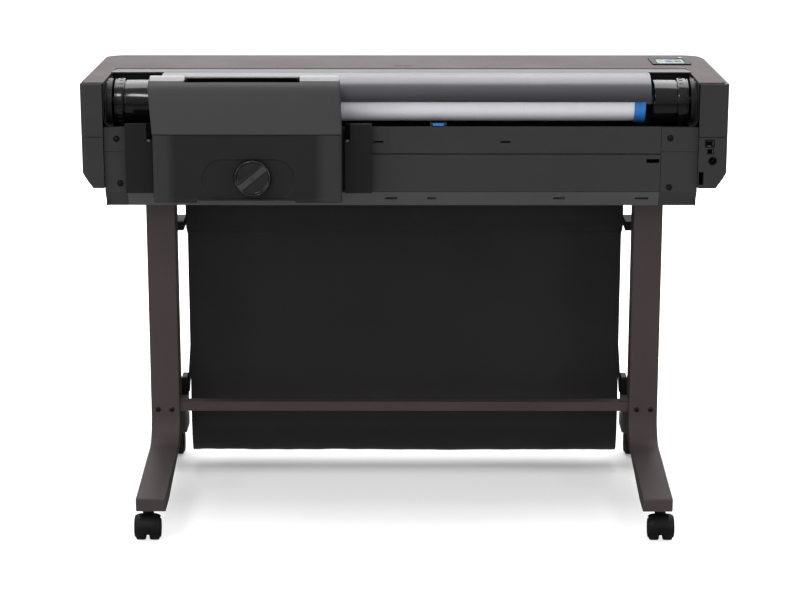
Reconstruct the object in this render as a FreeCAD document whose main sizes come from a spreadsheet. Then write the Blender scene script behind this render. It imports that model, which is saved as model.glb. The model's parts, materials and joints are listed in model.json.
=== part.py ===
import FreeCAD, Part
import math
import os
import Sketcher
from FreeCAD import Vector, Placement, Rotation

# Large format plotter on a wheeled stand, with a roll holder, a sheet feeder and a fabric
# media bin. Millimetres. +Z is up, Z = 0 is the floor. +X is to the right for a person who
# stands behind the machine, where the paper roll is loaded; +Y points to the machine's front.
# X = 0 is midway between the legs.

doc = FreeCAD.newDocument("LargeFormatPlotter")

# alias, value, meaning
TABLE = [
    ("half_width", 658.5, "half of the overall width, over the end caps"),
    ("rear_y", -172, "rear face of the end caps"),
    ("front_y", 300, "front face of the body"),
    ("cap_in_left", -613, "inner plane of the left end cap"),
    ("cap_in_right", 599, "inner plane of the right end cap"),
    ("cap_seam_z", 826, "seam between upper and lower end cap"),
    ("cap_low_z", 720, "underside of the end caps"),
    ("top_rear_z", 938, "top surface at the rear edge"),
    ("top_front_z", 921, "top surface at the front edge"),
    ("panel_y", -164, "rear face of the rear panels"),
    ("panel_top_z", 846, "top edge of the upper rear panel"),
    ("panel_seam_z", 790, "seam between the rear panels"),
    ("chamfer_z", 711, "where the bottom chamfer starts"),
    ("pan_z", 677, "underside of the body"),
    ("chamfer_y", -136, "where the bottom chamfer ends"),
    ("skin", 3, "wall thickness of covers"),
    ("axis_y", -102, "spindle axis"),
    ("axis_z", 887, "spindle axis height"),
    ("roll_rad", 39, "paper roll radius"),
    ("core_rad", 26, "paper core radius"),
    ("hub_rad", 48, "spindle end cap radius"),
    ("spindle_rad", 10, "spindle shaft radius"),
    ("run_gap", 0.05, "radial running clearance"),
    ("bay_rad", 62, "roll bay inner radius"),
    ("cover_rad", 58, "roll cover outer radius"),
    ("cover_skin", 2.5, "roll cover thickness"),
    ("leg_in", 491, "inner face of the leg"),
    ("leg_out", 553, "outer face of the leg"),
    ("leg_near", 40, "rear face of the column"),
    ("leg_far", 98, "front face of the column"),
    ("leg_wall", 3, "column tube wall"),
    ("foot_rear", -302.5, "rear end of the foot"),
    ("foot_front", 302.5, "front end of the foot"),
    ("foot_low", 68, "underside of the foot at its end"),
    ("foot_end_top", 95, "top of the foot at its end"),
    ("brace_low", 176, "underside of the cross brace"),
    ("brace_top", 197, "top of the cross brace"),
    ("wheel_rad", 25, "caster wheel radius"),
    ("wheel_wide", 18, "width of one caster wheel"),
    ("axle_rad", 4, "caster axle radius"),
    ("stem_rad", 5.5, "caster stem radius"),
    ("caster_x", 531, "caster centre"),
    ("caster_rear_y", -268, "rear caster swivel axis"),
    ("caster_front_y", 268, "front caster swivel axis"),
    ("caster_trail", 14, "offset of the axle from the swivel axis"),
    ("bin_half", 475, "half of the bin width"),
    ("bin_y", 150, "rear panel of the bin"),
    ("bin_skin", 3, "bin fabric with its hems"),
    ("rod_rad", 7, "bin rod radius"),
    ("feeder_left", -507, "left side of the sheet feeder"),
    ("feeder_right", -126.5, "right side of the sheet feeder"),
    ("feeder_near", -236, "rear face of the sheet feeder"),
    ("feeder_low", 703, "underside of the sheet feeder"),
    ("feeder_seam", 842, "seam between feeder body and its lid"),
    ("lid_top", 944, "top of the feeder lid"),
    ("knob_x", -306, "feeder knob axis"),
    ("knob_z", 755, "feeder knob axis height"),
    ("knob_rad", 36.5, "feeder knob radius"),
    ("feed_rad", 12, "feed roller radius"),
    ("pinch_rad", 6, "pinch roller radius"),
    ("feed_y", 70, "feed roller axis"),
    ("feed_z", 786, "feed roller axis height"),
    ("pulley_rad", 8, "belt pulley radius"),
    ("belt_y", 118, "belt pulley axis"),
    ("belt_z", 872, "belt height"),
]
sheet = doc.addObject("Spreadsheet::Sheet", "Dims")
for row, (alias, value, meaning) in enumerate(TABLE, start=1):
    sheet.set("A%d" % row, alias)
    sheet.set("B%d" % row, repr(value))
    sheet.set("C%d" % row, meaning)
    sheet.setAlias("B%d" % row, alias)
doc.recompute()


class Dim:
    """A length that knows its spreadsheet expression."""

    def __init__(self, number, exp):
        self.val, self.exp = float(number), exp

    def __add__(self, other):
        other = wrap(other)
        return Dim(self.val + other.val, "(%s + %s)" % (self.exp, other.exp))

    def __radd__(self, other):
        return wrap(other) + self

    def __sub__(self, other):
        other = wrap(other)
        return Dim(self.val - other.val, "(%s - %s)" % (self.exp, other.exp))

    def __rsub__(self, other):
        return wrap(other) - self

    def __mul__(self, other):
        other = wrap(other)
        return Dim(self.val * other.val, "(%s * %s)" % (self.exp, other.exp))

    def __truediv__(self, other):
        other = wrap(other)
        return Dim(self.val / other.val, "(%s / %s)" % (self.exp, other.exp))

    def __neg__(self):
        return Dim(-self.val, "(0 - %s)" % self.exp)


def wrap(value):
    return value if isinstance(value, Dim) else Dim(value, "%.6f" % float(value))


def val(value):
    return value.val if isinstance(value, Dim) else float(value)


class Sizes:
    """Holds every driving dimension under its alias."""


dims = Sizes()
for alias, value, meaning in TABLE:
    setattr(dims, alias, Dim(sheet.get(alias), "Dims.%s" % alias))
gap = dims.run_gap

# ------------------------------------------------------------------ document helpers
pieces = []  # finished pieces, one file each
name_count = 0


def fresh(stem):
    global name_count
    name_count += 1
    return "%s%03d" % (stem, name_count)


def done(obj, label):
    obj.Label = label
    pieces.append(obj)
    return obj


def bind(obj, prop, value):
    if isinstance(value, Dim):
        obj.setExpression(prop, value.exp)


def assign(obj, prop, value):
    setattr(obj, prop, val(value))
    bind(obj, prop, value)


def put(obj, x, y, z):
    obj.Placement = Placement(Vector(val(x), val(y), val(z)), obj.Placement.Rotation)
    bind(obj, "Placement.Base.x", x)
    bind(obj, "Placement.Base.y", y)
    bind(obj, "Placement.Base.z", z)


def tilt(obj, origin, axis, angle):
    """Moves an unbound object into a frame at origin, turned about the axis."""
    obj.Placement = Placement(origin, Rotation(axis, angle)).multiply(obj.Placement)


# ------------------------------------------------------------------ edge selection
# A test takes an edge's middle point and the edge.


def find_edges(obj, shape, test):
    found = []
    for i, edge in enumerate(shape.Edges, start=1):
        mid = edge.valueAt((edge.FirstParameter + edge.LastParameter) / 2)
        if test(mid, edge):
            found.append(i)
    if not found:
        raise RuntimeError("no edge passes in %s" % obj.Label)
    return found


def along(edge, axis):
    """True for a straight edge that runs along the axis."""
    if len(edge.Vertexes) != 2:
        return False
    way = edge.Vertexes[1].Point.sub(edge.Vertexes[0].Point)
    return way.Length > 1e-6 and abs(abs(getattr(way, axis)) - way.Length) < 1e-4


def circular(mid, edge):
    return edge.Curve.TypeId == "Part::GeomCircle"


# ------------------------------------------------------------------ sketched bodies
# An outline is a list of points (across, up) or (across, up, bulge), or one
# ("circle", across, up, radius).


def rect(left, right, low, high):
    return [(left, low), (right, low), (right, high), (left, high)]


def at_point(sketch, geo, pos, across, up):
    """Holds a sketch point at its place from the origin."""
    for kind, value, axis in (("DistanceX", across, -2), ("DistanceY", up, -1)):
        if abs(val(value)) < 1e-9:
            sketch.addConstraint(Sketcher.Constraint("PointOnObject", geo, pos, axis))
        else:
            held = Sketcher.Constraint(kind, -1, 1, geo, pos, val(value))
            bind(sketch, "Constraints[%d]" % sketch.addConstraint(held), value)


def arc_between(start, end, bulge):
    """The arc between two points; a positive bulge turns anticlockwise and bows to the right."""
    way = end.sub(start)
    chord = way.Length
    sag = abs(bulge) * chord / 2.0
    radius = chord * (1 + bulge * bulge) / (4 * abs(bulge))
    reach = (radius - sag) * (1 if bulge > 0 else -1)
    side = Vector(-way.y / chord, way.x / chord, 0).multiply(reach)
    centre = start.add(end).multiply(0.5).add(side)
    if bulge < 0:
        start, end = end, start
    angle_0 = math.atan2(start.y - centre.y, start.x - centre.x)
    angle_1 = math.atan2(end.y - centre.y, end.x - centre.x)
    if angle_1 <= angle_0:
        angle_1 += 2 * math.pi
    return Part.ArcOfCircle(Part.Circle(centre, Vector(0, 0, 1), radius), angle_0, angle_1)


def draw(body, plane, outline, offset=0.0):
    """A sketch on an origin plane, or at an offset from it."""
    sketch = body.newObject("Sketcher::SketchObject", fresh("Sketch"))
    role = plane + "_Plane"
    support = next(item for item in body.Origin.OriginFeatures if item.Role == role)
    sketch.AttachmentSupport = [(support, "")]
    sketch.MapMode = "FlatFace"
    if offset != 0.0:
        sketch.AttachmentOffset = Placement(Vector(0, 0, offset), Rotation())
    if outline[0] == "circle":
        _, across, up, radius = outline
        circle = Part.Circle(Vector(val(across), val(up), 0), Vector(0, 0, 1), val(radius))
        geo = sketch.addGeometry(circle, False)
        at_point(sketch, geo, 3, across, up)
        held = Sketcher.Constraint("Radius", geo, val(radius))
        bind(sketch, "Constraints[%d]" % sketch.addConstraint(held), radius)
        return sketch

    points = [Vector(val(corner[0]), val(corner[1]), 0) for corner in outline]
    sides = []  # geometry, position of its start, position of its end, arc radius
    for i, corner in enumerate(outline):
        start, end = points[i], points[(i + 1) % len(points)]
        if len(corner) > 2:
            geo = sketch.addGeometry(arc_between(start, end, corner[2]), False)
            ends = (1, 2) if corner[2] > 0 else (2, 1)
            sides.append((geo, *ends, sketch.Geometry[geo].Radius))
        else:
            geo = sketch.addGeometry(Part.LineSegment(start, end), False)
            sides.append((geo, 1, 2, None))
    for i, (geo, _, end_pos, _) in enumerate(sides):
        following, following_pos = sides[(i + 1) % len(sides)][:2]
        sketch.addConstraint(
            Sketcher.Constraint("Coincident", geo, end_pos, following, following_pos))
    for corner, (geo, start_pos, _, radius) in zip(outline, sides):
        at_point(sketch, geo, start_pos, corner[0], corner[1])
        if radius is not None:
            sketch.addConstraint(Sketcher.Constraint("Radius", geo, radius))
    return sketch


def extrude(label, plane, outline, lo, hi, rounds=(), piece=False):
    """A padded body between lo and hi along the plane's axis. rounds: (points, radius) pairs."""
    body = doc.addObject("PartDesign::Body", fresh("Body"))
    sketch = draw(body, plane, outline)
    pad = body.newObject("PartDesign::Pad", fresh("Pad"))
    pad.Profile = sketch
    assign(pad, "Length", hi - lo)
    body.Tip = pad
    if plane == "YZ":
        put(body, lo, 0, 0)
    elif plane == "XZ":
        put(body, 0, hi, 0)
    else:
        put(body, 0, 0, lo)
    body.Label = label
    for points, radius in rounds:
        soften_corners(body, plane, points, radius)
    if piece:
        pieces.append(body)
    return body


def soften_where(body, test, radius):
    """Rounds every edge that passes the test, in the body's own frame."""
    doc.recompute()
    tip = body.Tip
    found = find_edges(body, tip.Shape, test)
    fillet = body.newObject("PartDesign::Fillet", fresh("Soft"))
    fillet.Base = (tip, ["Edge%d" % i for i in found])
    fillet.Radius = radius
    body.Tip = fillet
    return len(found)


def soften_corners(body, plane, points, radius):
    """Rounds the edges that run along the plane's axis through the given points."""
    targets = [(val(point[0]), val(point[1])) for point in points]

    def through_target(mid, edge):
        if len(edge.Vertexes) != 2:
            return False
        ends = [[getattr(vertex.Point, axis) for axis in plane.lower()]
                for vertex in edge.Vertexes]
        return any(all(math.dist(end, target) < 0.02 for end in ends) for target in targets)

    if soften_where(body, through_target, radius) < len(points):
        raise RuntimeError("edge not found in %s: %s" % (body.Label, targets))


def carve(body, plane, outline, lo, hi):
    """A pocket between lo and hi along the plane's axis, in the body's own frame."""
    doc.recompute()
    before = body.Shape.Volume
    # the XZ plane's normal points to -Y
    sketch = draw(body, plane, outline, offset=-val(hi) if plane == "XZ" else val(lo))
    pocket = body.newObject("PartDesign::Pocket", fresh("Pocket"))
    pocket.Profile = sketch
    pocket.Length = val(hi) - val(lo)
    pocket.Reversed = True
    body.Tip = pocket
    doc.recompute()
    if not body.Shape.Volume < before - 1e-6:
        raise RuntimeError("a pocket cuts nothing in %s" % body.Label)


# ------------------------------------------------------------------ blocks, rods and booleans
AXIS = {
    "X": Rotation(Vector(0, 0, 1), Vector(1, 0, 0)),
    "Y": Rotation(Vector(0, 0, 1), Vector(0, 1, 0)),
    "Z": Rotation(),
}


def box(x0, x1, y0, y1, z0, z1):
    block = doc.addObject("Part::Box", fresh("Box"))
    assign(block, "Length", x1 - x0)
    assign(block, "Width", y1 - y0)
    assign(block, "Height", z1 - z0)
    put(block, x0, y0, z0)
    return block


def rod(axis, radius, lo, hi, across, up, label=None):
    """A cylinder along X at (y, z), along Y at (x, z) or along Z at (x, y)."""
    bar = doc.addObject("Part::Cylinder", fresh("Rod"))
    assign(bar, "Radius", radius)
    assign(bar, "Height", hi - lo)
    bar.Placement = Placement(Vector(), AXIS[axis])
    if axis == "X":
        put(bar, lo, across, up)
    elif axis == "Y":
        put(bar, across, lo, up)
    else:
        put(bar, across, up, lo)
    return done(bar, label) if label else bar


def fuse(items, label=None):
    union = doc.addObject("Part::MultiFuse", fresh("Fuse"))
    union.Shapes = items
    union.Refine = True
    return done(union, label) if label else union


def less(base, tools, label=None):
    cut = doc.addObject("Part::Cut", fresh("Cut"))
    cut.Base = base
    cut.Tool = tools[0] if len(tools) == 1 else fuse(tools)
    return done(cut, label) if label else cut


def group(items, label):
    """One piece of separate solids."""
    compound = doc.addObject("Part::Compound", fresh("Group"))
    compound.Links = items
    return done(compound, label)


def pair(obj, label):
    """The object and its mirror image across X = 0, as one piece."""
    mirror = doc.addObject("Part::Mirroring", fresh("Mirror"))
    mirror.Source = obj
    mirror.Normal = Vector(1, 0, 0)
    mirror.Base = Vector(0, 0, 0)
    return group([obj, mirror], label)


def rounded(obj, radius, test, label=None):
    """Part fillet on the edges that pass the test."""
    doc.recompute()
    found = find_edges(obj, obj.Shape, test)
    fillet = doc.addObject("Part::Fillet", fresh("Fillet"))
    fillet.Base = obj
    fillet.Edges = [(i, radius, radius) for i in found]
    return done(fillet, label) if label else fillet


# ------------------------------------------------------------------ stand
STEM_BORE_Z = (60, 82)  # pocket for a caster stem
FOOT_INSET = 3  # the front foot is narrower than the leg by this on each side


def leg(label, side):
    """A steel tube column whose rear face sweeps into the rear foot."""
    lo, hi = (dims.leg_in, dims.leg_out) if side > 0 else (-dims.leg_out, -dims.leg_in)
    outline = [
        (dims.foot_rear, dims.foot_low),
        (-236, dims.foot_low),
        (dims.leg_far, 112),
        (dims.leg_far, dims.pan_z),
        (dims.leg_near, dims.pan_z),
        (dims.leg_near, 114),
        (dims.foot_rear, dims.foot_end_top),
    ]
    body = extrude(label, "YZ", outline, lo, hi,
                   rounds=[([outline[5]], 58), ([outline[6]], 4), ([outline[1]], 60)])
    wall = val(dims.leg_wall)
    width = val(dims.leg_out) - val(dims.leg_in)
    near, far = val(dims.leg_near), val(dims.leg_far)
    carve(body, "XY", rect(wall, width - wall, near + wall, far - wall), 185, 680)

    def side_rim(mid, edge):
        on_side = abs(mid.x) < 1e-3 or abs(mid.x - width) < 1e-3
        in_height = 78 < mid.z < val(dims.pan_z) - 1
        return on_side and in_height and -300 <= mid.y < far - 5

    soften_where(body, side_rim, 2.5)
    caster_x = val(dims.caster_x)
    stem_x = caster_x - val(dims.leg_in) if side > 0 else val(dims.leg_out) - caster_x
    bore = ("circle", stem_x, dims.caster_rear_y, dims.stem_rad + gap)
    carve(body, "XY", bore, *STEM_BORE_Z)
    pieces.append(body)


leg("left_leg", -1)
leg("right_leg", 1)

# The front feet stand against the front face of each column.
foot_outline = [
    (dims.leg_far + 0.2, 112),
    (dims.leg_far + 0.2, 232),
    (132, 232, -0.12),
    (176, 150, 0.14),
    (dims.foot_front, dims.foot_end_top),
    (dims.foot_front, dims.foot_low),
    (228, dims.foot_low),
]
foot_right = extrude("foot_right", "YZ", foot_outline,
                     dims.leg_in + FOOT_INSET, dims.leg_out - FOOT_INSET)
carve(foot_right, "XY", ("circle", val(dims.caster_x) - val(dims.leg_in) - FOOT_INSET,
                         dims.caster_front_y, dims.stem_rad + gap), *STEM_BORE_Z)
pair(foot_right, "front_feet")

# Cross brace between the columns: a channel, open to the front, with a taller end bracket
# at each side.
brace_left, brace_right = -dims.leg_in + 0.2, dims.leg_in - 0.2
bracket_low, bracket_top = dims.brace_low - 3, dims.brace_top + 7
fuse([
    box(brace_left, brace_right, 46, 48.5, dims.brace_low, dims.brace_top),
    box(brace_left, brace_right, 46, 70, dims.brace_top - 2.5, dims.brace_top),
    box(brace_left, brace_right, 46, 70, dims.brace_low, dims.brace_low + 2.5),
    box(brace_left, -dims.leg_in + 18, 50, 74, bracket_low, bracket_top),
    box(dims.leg_in - 18, brace_right, 50, 74, bracket_low, bracket_top),
], "cross_brace")

# Bolt heads: two on the rear face of each column.
group([rod("Y", 5.5, dims.leg_near - 2.2, dims.leg_near - 0.02, side * x, 181)
       for side in (-1, 1) for x in (508, 538)], "stand_bolts")

WHEELS_OUT = 24.2  # caster centre to the outer face of a wheel
HOOD_IN = 26.2  # inner radius of the hood, and half of its width


def caster(where, side, swivel_y, trail):
    """A hood whose stem turns in the foot, and two wheels on one axle.

    trail is -1 where the axle lies behind the swivel axis and 1 where it lies in front.
    """
    x, stem_y = val(dims.caster_x) * side, val(swivel_y)
    y, z = stem_y + trail * val(dims.caster_trail), val(dims.wheel_rad)  # the axle
    shell = rod("X", 28, x - HOOD_IN, x + HOOD_IN, y, z + 2)
    hollow_left = rod("X", HOOD_IN, x - 28, x - 3.5, y, z)
    hollow_right = rod("X", HOOD_IN, x + 3.5, x + 28, y, z)
    under = box(x - 30, x + 30, y - 40, y + 40, -10, z - 9)
    open_y = y + 6 if trail < 0 else y - 74
    open_side = box(x - 30, x + 30, open_y, open_y + 80, -10, z + 4)
    neck = rod("Z", 10, z + 24, val(dims.foot_low) - 0.4, x, stem_y)
    stem = rod("Z", dims.stem_rad, z + 24, 81, x, stem_y)
    bore = rod("X", dims.axle_rad + gap, x - 10, x + 10, y, z)
    slot_y = (y + 17, y + 40) if trail > 0 else (y - 40, y - 17)
    slot = box(x - 8.2, x + 8.2, *slot_y, z - 6, z + 16)
    shell = less(shell, [hollow_left, hollow_right, under, open_side])
    less(fuse([shell, neck, stem]), [bore, slot], "caster_hood_" + where)

    wide = val(dims.wheel_wide)
    wheels = fuse([
        rod("X", dims.wheel_rad, x - WHEELS_OUT, x - WHEELS_OUT + wide, y, z),
        rod("X", dims.wheel_rad, x + WHEELS_OUT - wide, x + WHEELS_OUT, y, z),
        rod("X", dims.axle_rad, x - 22.7, x + 22.7, y, z),
    ])
    wheels = rounded(wheels, 3.5, lambda mid, edge: circular(mid, edge)
                     and abs(edge.Curve.Radius - val(dims.wheel_rad)) < 0.01)
    rims = [rod("X", 17, x - 25.7, x - 22.2, y, z), rod("X", 17, x + 22.2, x + 25.7, y, z)]
    less(wheels, rims, "caster_wheels_" + where)
    if trail < 0:
        # T shaped brake tab in the slot of the hood
        fuse([
            box(x - 7.5, x + 7.5, y - 31.5, y - 27.4, z + 5, z + 9),
            box(x - 2.5, x + 2.5, y - 31.5, y - 28.6, z - 2, z + 6),
            box(x - 2.5, x + 2.5, y - 30.5, y - 19, z + 3, z + 9),
        ], "caster_brake_" + where)


caster("rear_left", -1, dims.caster_rear_y, trail=-1)
caster("rear_right", 1, dims.caster_rear_y, trail=-1)
caster("front_left", -1, dims.caster_front_y, trail=1)
caster("front_right", 1, dims.caster_front_y, trail=1)

# ------------------------------------------------------------------ media bin
BIN_TOP_Z, BIN_FRONT_TOP_Z = 652, 330
ROD_TOP = (dims.bin_y + 8, 579)  # y, z
ROD_FRONT = (dims.bin_y + 122, 343)
ARM_PIN = (126, 205)
ARM_PIN_RAD = 5

# A fabric sheet hangs at the rear, runs under and comes up at the front: inner face, then
# outer face. Columns: y, z, bulge.
extrude("bin_fabric", "YZ", [
    (dims.bin_y, BIN_TOP_Z),
    (dims.bin_y, 118, 0.30),
    (dims.bin_y + 36, 58),
    (dims.bin_y + 84, 52, 0.26),
    (dims.bin_y + 118, 92),
    (dims.bin_y + 128, BIN_FRONT_TOP_Z),
    (dims.bin_y + 128 + dims.bin_skin, BIN_FRONT_TOP_Z),
    (dims.bin_y + 121, 91, -0.26),
    (dims.bin_y + 84.5, 49),
    (dims.bin_y + 35.5, 55, -0.30),
    (dims.bin_y - dims.bin_skin, 118),
    (dims.bin_y - dims.bin_skin, BIN_TOP_Z),
], -dims.bin_half, dims.bin_half, piece=True)
rod("X", dims.rod_rad, -483, 483, *ROD_TOP, "bin_top_rod")
rod("X", dims.rod_rad, -478.5, 478.5, *ROD_FRONT, "bin_front_rod")

# hooks that hold the top rod, on the front face of the columns
hook = less(box(478.6, 507, dims.leg_far + 0.1, 168, 569, 589),
            [rod("X", dims.rod_rad + gap, 470, 483.2, *ROD_TOP)])
pair(hook, "bin_hooks")

# pivot blocks for the bin arms, in front of the inner faces of the columns
pivot = less(box(479.4, dims.leg_in - 0.2, dims.leg_far + 4, 146, 183, 236),
             [rod("X", ARM_PIN_RAD + gap, 470, 495, *ARM_PIN)])
pivot = rounded(pivot, 6, lambda mid, edge: along(edge, "x") and not 200 < mid.z < 210)
pair(pivot, "bin_pivots")

# the two arms carry the front rod; each turns on a pin in its pivot block
arm_outline = [(117, 197), (134, 197), (282, 334), (282, 352), (262, 352), (117, 214)]
arm_bar = extrude("arm_bar", "YZ", arm_outline, 475.8, 479.0, rounds=[(arm_outline, 6)])
arm = less(fuse([arm_bar, rod("X", ARM_PIN_RAD, 478.0, 488.5, *ARM_PIN)]),
           [rod("X", dims.rod_rad + gap, 470, 484, *ROD_FRONT)])
pair(arm, "bin_arms")

# ------------------------------------------------------------------ body: end caps
slope = (dims.top_rear_z - dims.top_front_z) / (dims.front_y - dims.rear_y)
CAP_SEAM_HALF = 0.6  # half of the gap between the upper and lower caps
CAP_CAVITY_FRONT = 252


def top_at(y, drop=0.0):
    """Height of the sloping top surface, less a drop."""
    return dims.top_rear_z - slope * (wrap(y) - dims.rear_y) - drop


def top_band(rear, front, low_drop, high_drop=0.0):
    """Outline of a layer that follows the top surface between two drops."""
    return [(rear, top_at(rear, low_drop)), (front, top_at(front, low_drop)),
            (front, top_at(front, high_drop)), (rear, top_at(rear, high_drop))]


def cap(side, is_upper):
    """One end cap, open on its inner side."""
    if side > 0:
        lo, hi = dims.cap_in_right, dims.half_width
    else:
        lo, hi = -dims.half_width, dims.cap_in_left
    width = val(hi) - val(lo)
    wall = val(dims.skin) + 2.5
    # local X runs from lo to hi; the outer face is at width on the right and at 0 on the left
    outer_x, inner_x = (width, 0) if side > 0 else (0, width)
    cavity_x = (-5, width - wall) if side > 0 else (wall, width + 5)
    back, far = val(dims.rear_y) + wall, CAP_CAVITY_FRONT
    if is_upper:
        low = dims.cap_seam_z + CAP_SEAM_HALF
        body = extrude("cap", "YZ", [
            (dims.rear_y, low), (dims.front_y, low),
            (dims.front_y, top_at(dims.front_y, dims.skin)),
            (dims.rear_y, top_at(dims.rear_y, dims.skin))], lo, hi)
        carve(body, "YZ", [(back, 800), (far, 800), (far, 915), (back, 929.5)], *cavity_x)
    else:
        body = extrude("cap", "YZ", rect(dims.rear_y, dims.front_y, dims.cap_low_z,
                                         dims.cap_seam_z - CAP_SEAM_HALF), lo, hi)
        carve(body, "YZ", rect(back, far, 757, 840), *cavity_x)
        low_cavity_x = (-5, width - 30) if side > 0 else (30, width + 5)
        carve(body, "YZ", rect(back + 12, far, 724, 758), *low_cavity_x)

    def upright_at(y):
        return lambda mid, edge: (along(edge, "z") and abs(mid.x - outer_x) < 0.01
                                  and abs(mid.y - val(y)) < 0.01)

    def top_rim(mid, edge):
        on_top = abs(mid.z - val(top_at(mid.y, dims.skin))) < 0.3
        inner_edge = (abs(mid.x - inner_x) < 0.01 and abs(mid.y - val(dims.rear_y)) > 1
                      and abs(mid.y - val(dims.front_y)) > 1)
        return on_top and not inner_edge

    soften_where(body, upright_at(dims.rear_y), 15)
    soften_where(body, upright_at(dims.front_y), 44)
    if is_upper:
        soften_where(body, top_rim, 2.5)
    else:
        # the outer bottom edge is chamfered
        low, away = val(dims.cap_low_z), side
        carve(body, "XZ", [(outer_x + away, low + 33.4), (outer_x + away, low - 1),
                           (outer_x - away * 23.5, low - 1)], -180, 310)
    return body


done(cap(-1, True), "left_cap_upper")
done(cap(-1, False), "left_cap_lower")
done(cap(1, True), "right_cap_upper")

# Openings for the sockets in the right lower cap, and the sockets as one piece.
cap_rear = val(dims.rear_y)
lan_x0, lan_x1, lan_z0, lan_z1 = 611, 631, 804.5, 821.5
usb_x0, usb_x1, usb_z0, usb_z1 = 616, 630, 791, 803
INLET = (628, 777)  # x, z of the round power inlet
less(cap(1, False), [
    box(lan_x0, lan_x1, cap_rear - 5, cap_rear + 20, lan_z0, lan_z1),
    box(usb_x0, usb_x1, cap_rear - 5, cap_rear + 20, usb_z0 - 0.3, usb_z1 - 0.8),
    rod("Y", 9.2, cap_rear - 5, cap_rear + 20, *INLET),
    box(600.5, 610.5, cap_rear - 5, cap_rear + 30, 727, 754),
], "right_cap_lower")
lan_socket = less(
    box(lan_x0 + 0.2, lan_x1 - 0.2, cap_rear + 1, cap_rear + 22, lan_z0 + 0.2, lan_z1 - 0.2),
    [box(lan_x0 + 2.5, lan_x1 - 2.5, cap_rear, cap_rear + 16, lan_z0 + 4, lan_z1 - 2),
     box(lan_x0 + 6, lan_x1 - 6, cap_rear, cap_rear + 16, lan_z0 + 2, lan_z0 + 5)])
usb_socket = less(
    box(usb_x0 + 0.2, usb_x1 - 0.2, cap_rear + 1, cap_rear + 20, usb_z0, usb_z1 - 1.0),
    [box(usb_x0 + 2, usb_x1 - 2, cap_rear, cap_rear + 14, usb_z0 + 1.8, usb_z1 - 2.8)])
power_inlet = fuse([
    less(rod("Y", 9, cap_rear + 1, cap_rear + 22, *INLET),
         [rod("Y", 7, cap_rear, cap_rear + 16, *INLET)]),
    rod("Y", 2, cap_rear + 4, cap_rear + 18, *INLET),
])
group([lan_socket, usb_socket, power_inlet], "io_ports")

# ------------------------------------------------------------------ body: rear sheets and pan
TRAY_FRONT = 39  # the rear sheets end here and the floor plate starts
SHEET_LEFT, SHEET_RIGHT = -568, 522.6
PANEL_CUT_Y = (-166, -160)  # through the rear panels


def tray(x0, x1, top):
    """A rear sheet that bends through the chamfer into the underside."""
    inner_y, inner_z = dims.panel_y + dims.skin, dims.pan_z + dims.skin
    return extrude("tray", "YZ", [
        (dims.panel_y, top), (dims.panel_y, dims.chamfer_z), (dims.chamfer_y, dims.pan_z),
        (TRAY_FRONT, dims.pan_z), (TRAY_FRONT, inner_z), (dims.chamfer_y + 1.3, inner_z),
        (inner_y, dims.chamfer_z + 1.3), (inner_y, top)], x0, x1)


def rear_bracket(label, x0, x1, web_x):
    """A tray with a groove across its rear face and an upright web at one side."""
    bracket = tray(x0, x1, dims.panel_top_z - 0.5)
    carve(bracket, "XZ", rect(-1, x1 - x0 + 1, 794.4, 795.6), -165, -163.2)
    web_end = web_x + 2.6
    nose_outline = [(-161.2, 712.5), (-161.2, 724), (-149.9, 724), (-149.9, 696)]
    fuse([
        bracket,
        box(web_x, web_end, -150, TRAY_FRONT, 679, 724),
        extrude("nose", "YZ", nose_outline, web_x, web_end),
    ], label)


rear_bracket("left_rear_bracket", -612.6, -568.8, web_x=-612.6)
rear_bracket("right_rear_bracket", 523.4, 598.6, web_x=598.6 - 2.6)

# Slots through the chamfer of the pan: centre x, half of the width.
pan_slots = []
for x, half in ((-27, 12), (56, 9), (318, 12), (487, 14)):
    slot = box(-half, half, -6, 6, -3.8, 3.8)
    tilt(slot, Vector(x, -150, 694), Vector(1, 0, 0), 50)
    pan_slots.append(slot)
less(fuse([tray(SHEET_LEFT, SHEET_RIGHT, dims.chamfer_z - 0.4),
           box(-611, 597, TRAY_FRONT, 284, dims.pan_z, dims.pan_z + dims.skin)]),
     pan_slots, "bottom_pan")

# Upper rear panel, with a lip at its top; two ears on the lip carry the small lever's pin.
LIP_Y = -158
LEVER_PIN = (-151, 849.6)  # y, z
panel_inner = dims.panel_y + dims.skin
upper_outline = [
    (dims.panel_y, dims.panel_seam_z + 1),
    (dims.panel_y, dims.panel_top_z),
    (LIP_Y, dims.panel_top_z),
    (LIP_Y, dims.panel_top_z - 2.5),
    (panel_inner, dims.panel_top_z - 2.5),
    (panel_inner, dims.panel_seam_z + 1),
]
upper_sheet = extrude("upper_sheet", "YZ", upper_outline, SHEET_LEFT, SHEET_RIGHT,
                      rounds=[([upper_outline[1]], 1.5)])
for x in (-63, 196):
    local_x = x - SHEET_LEFT
    carve(upper_sheet, "XZ", rect(local_x, local_x + 20, 813.2, 816.8), *PANEL_CUT_Y)
EARS_X = (52.5, 81.5)
ears = [less(box(x, x + 4, -158, -146, 845, 853), [rod("X", 1.55, x - 1, x + 5, *LEVER_PIN)])
        for x in EARS_X]
ear_feet = [box(x, x + 4, -163.5, -156, dims.panel_top_z - 0.5, dims.panel_top_z + 2)
            for x in EARS_X]
fuse([upper_sheet] + ears + ear_feet, "rear_upper_panel")
fuse([box(58, 80, -161.5, -149.3, 847.6, 851.6), rod("X", 1.5, 53, 85, *LEVER_PIN)],
     "paper_lever")

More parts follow.
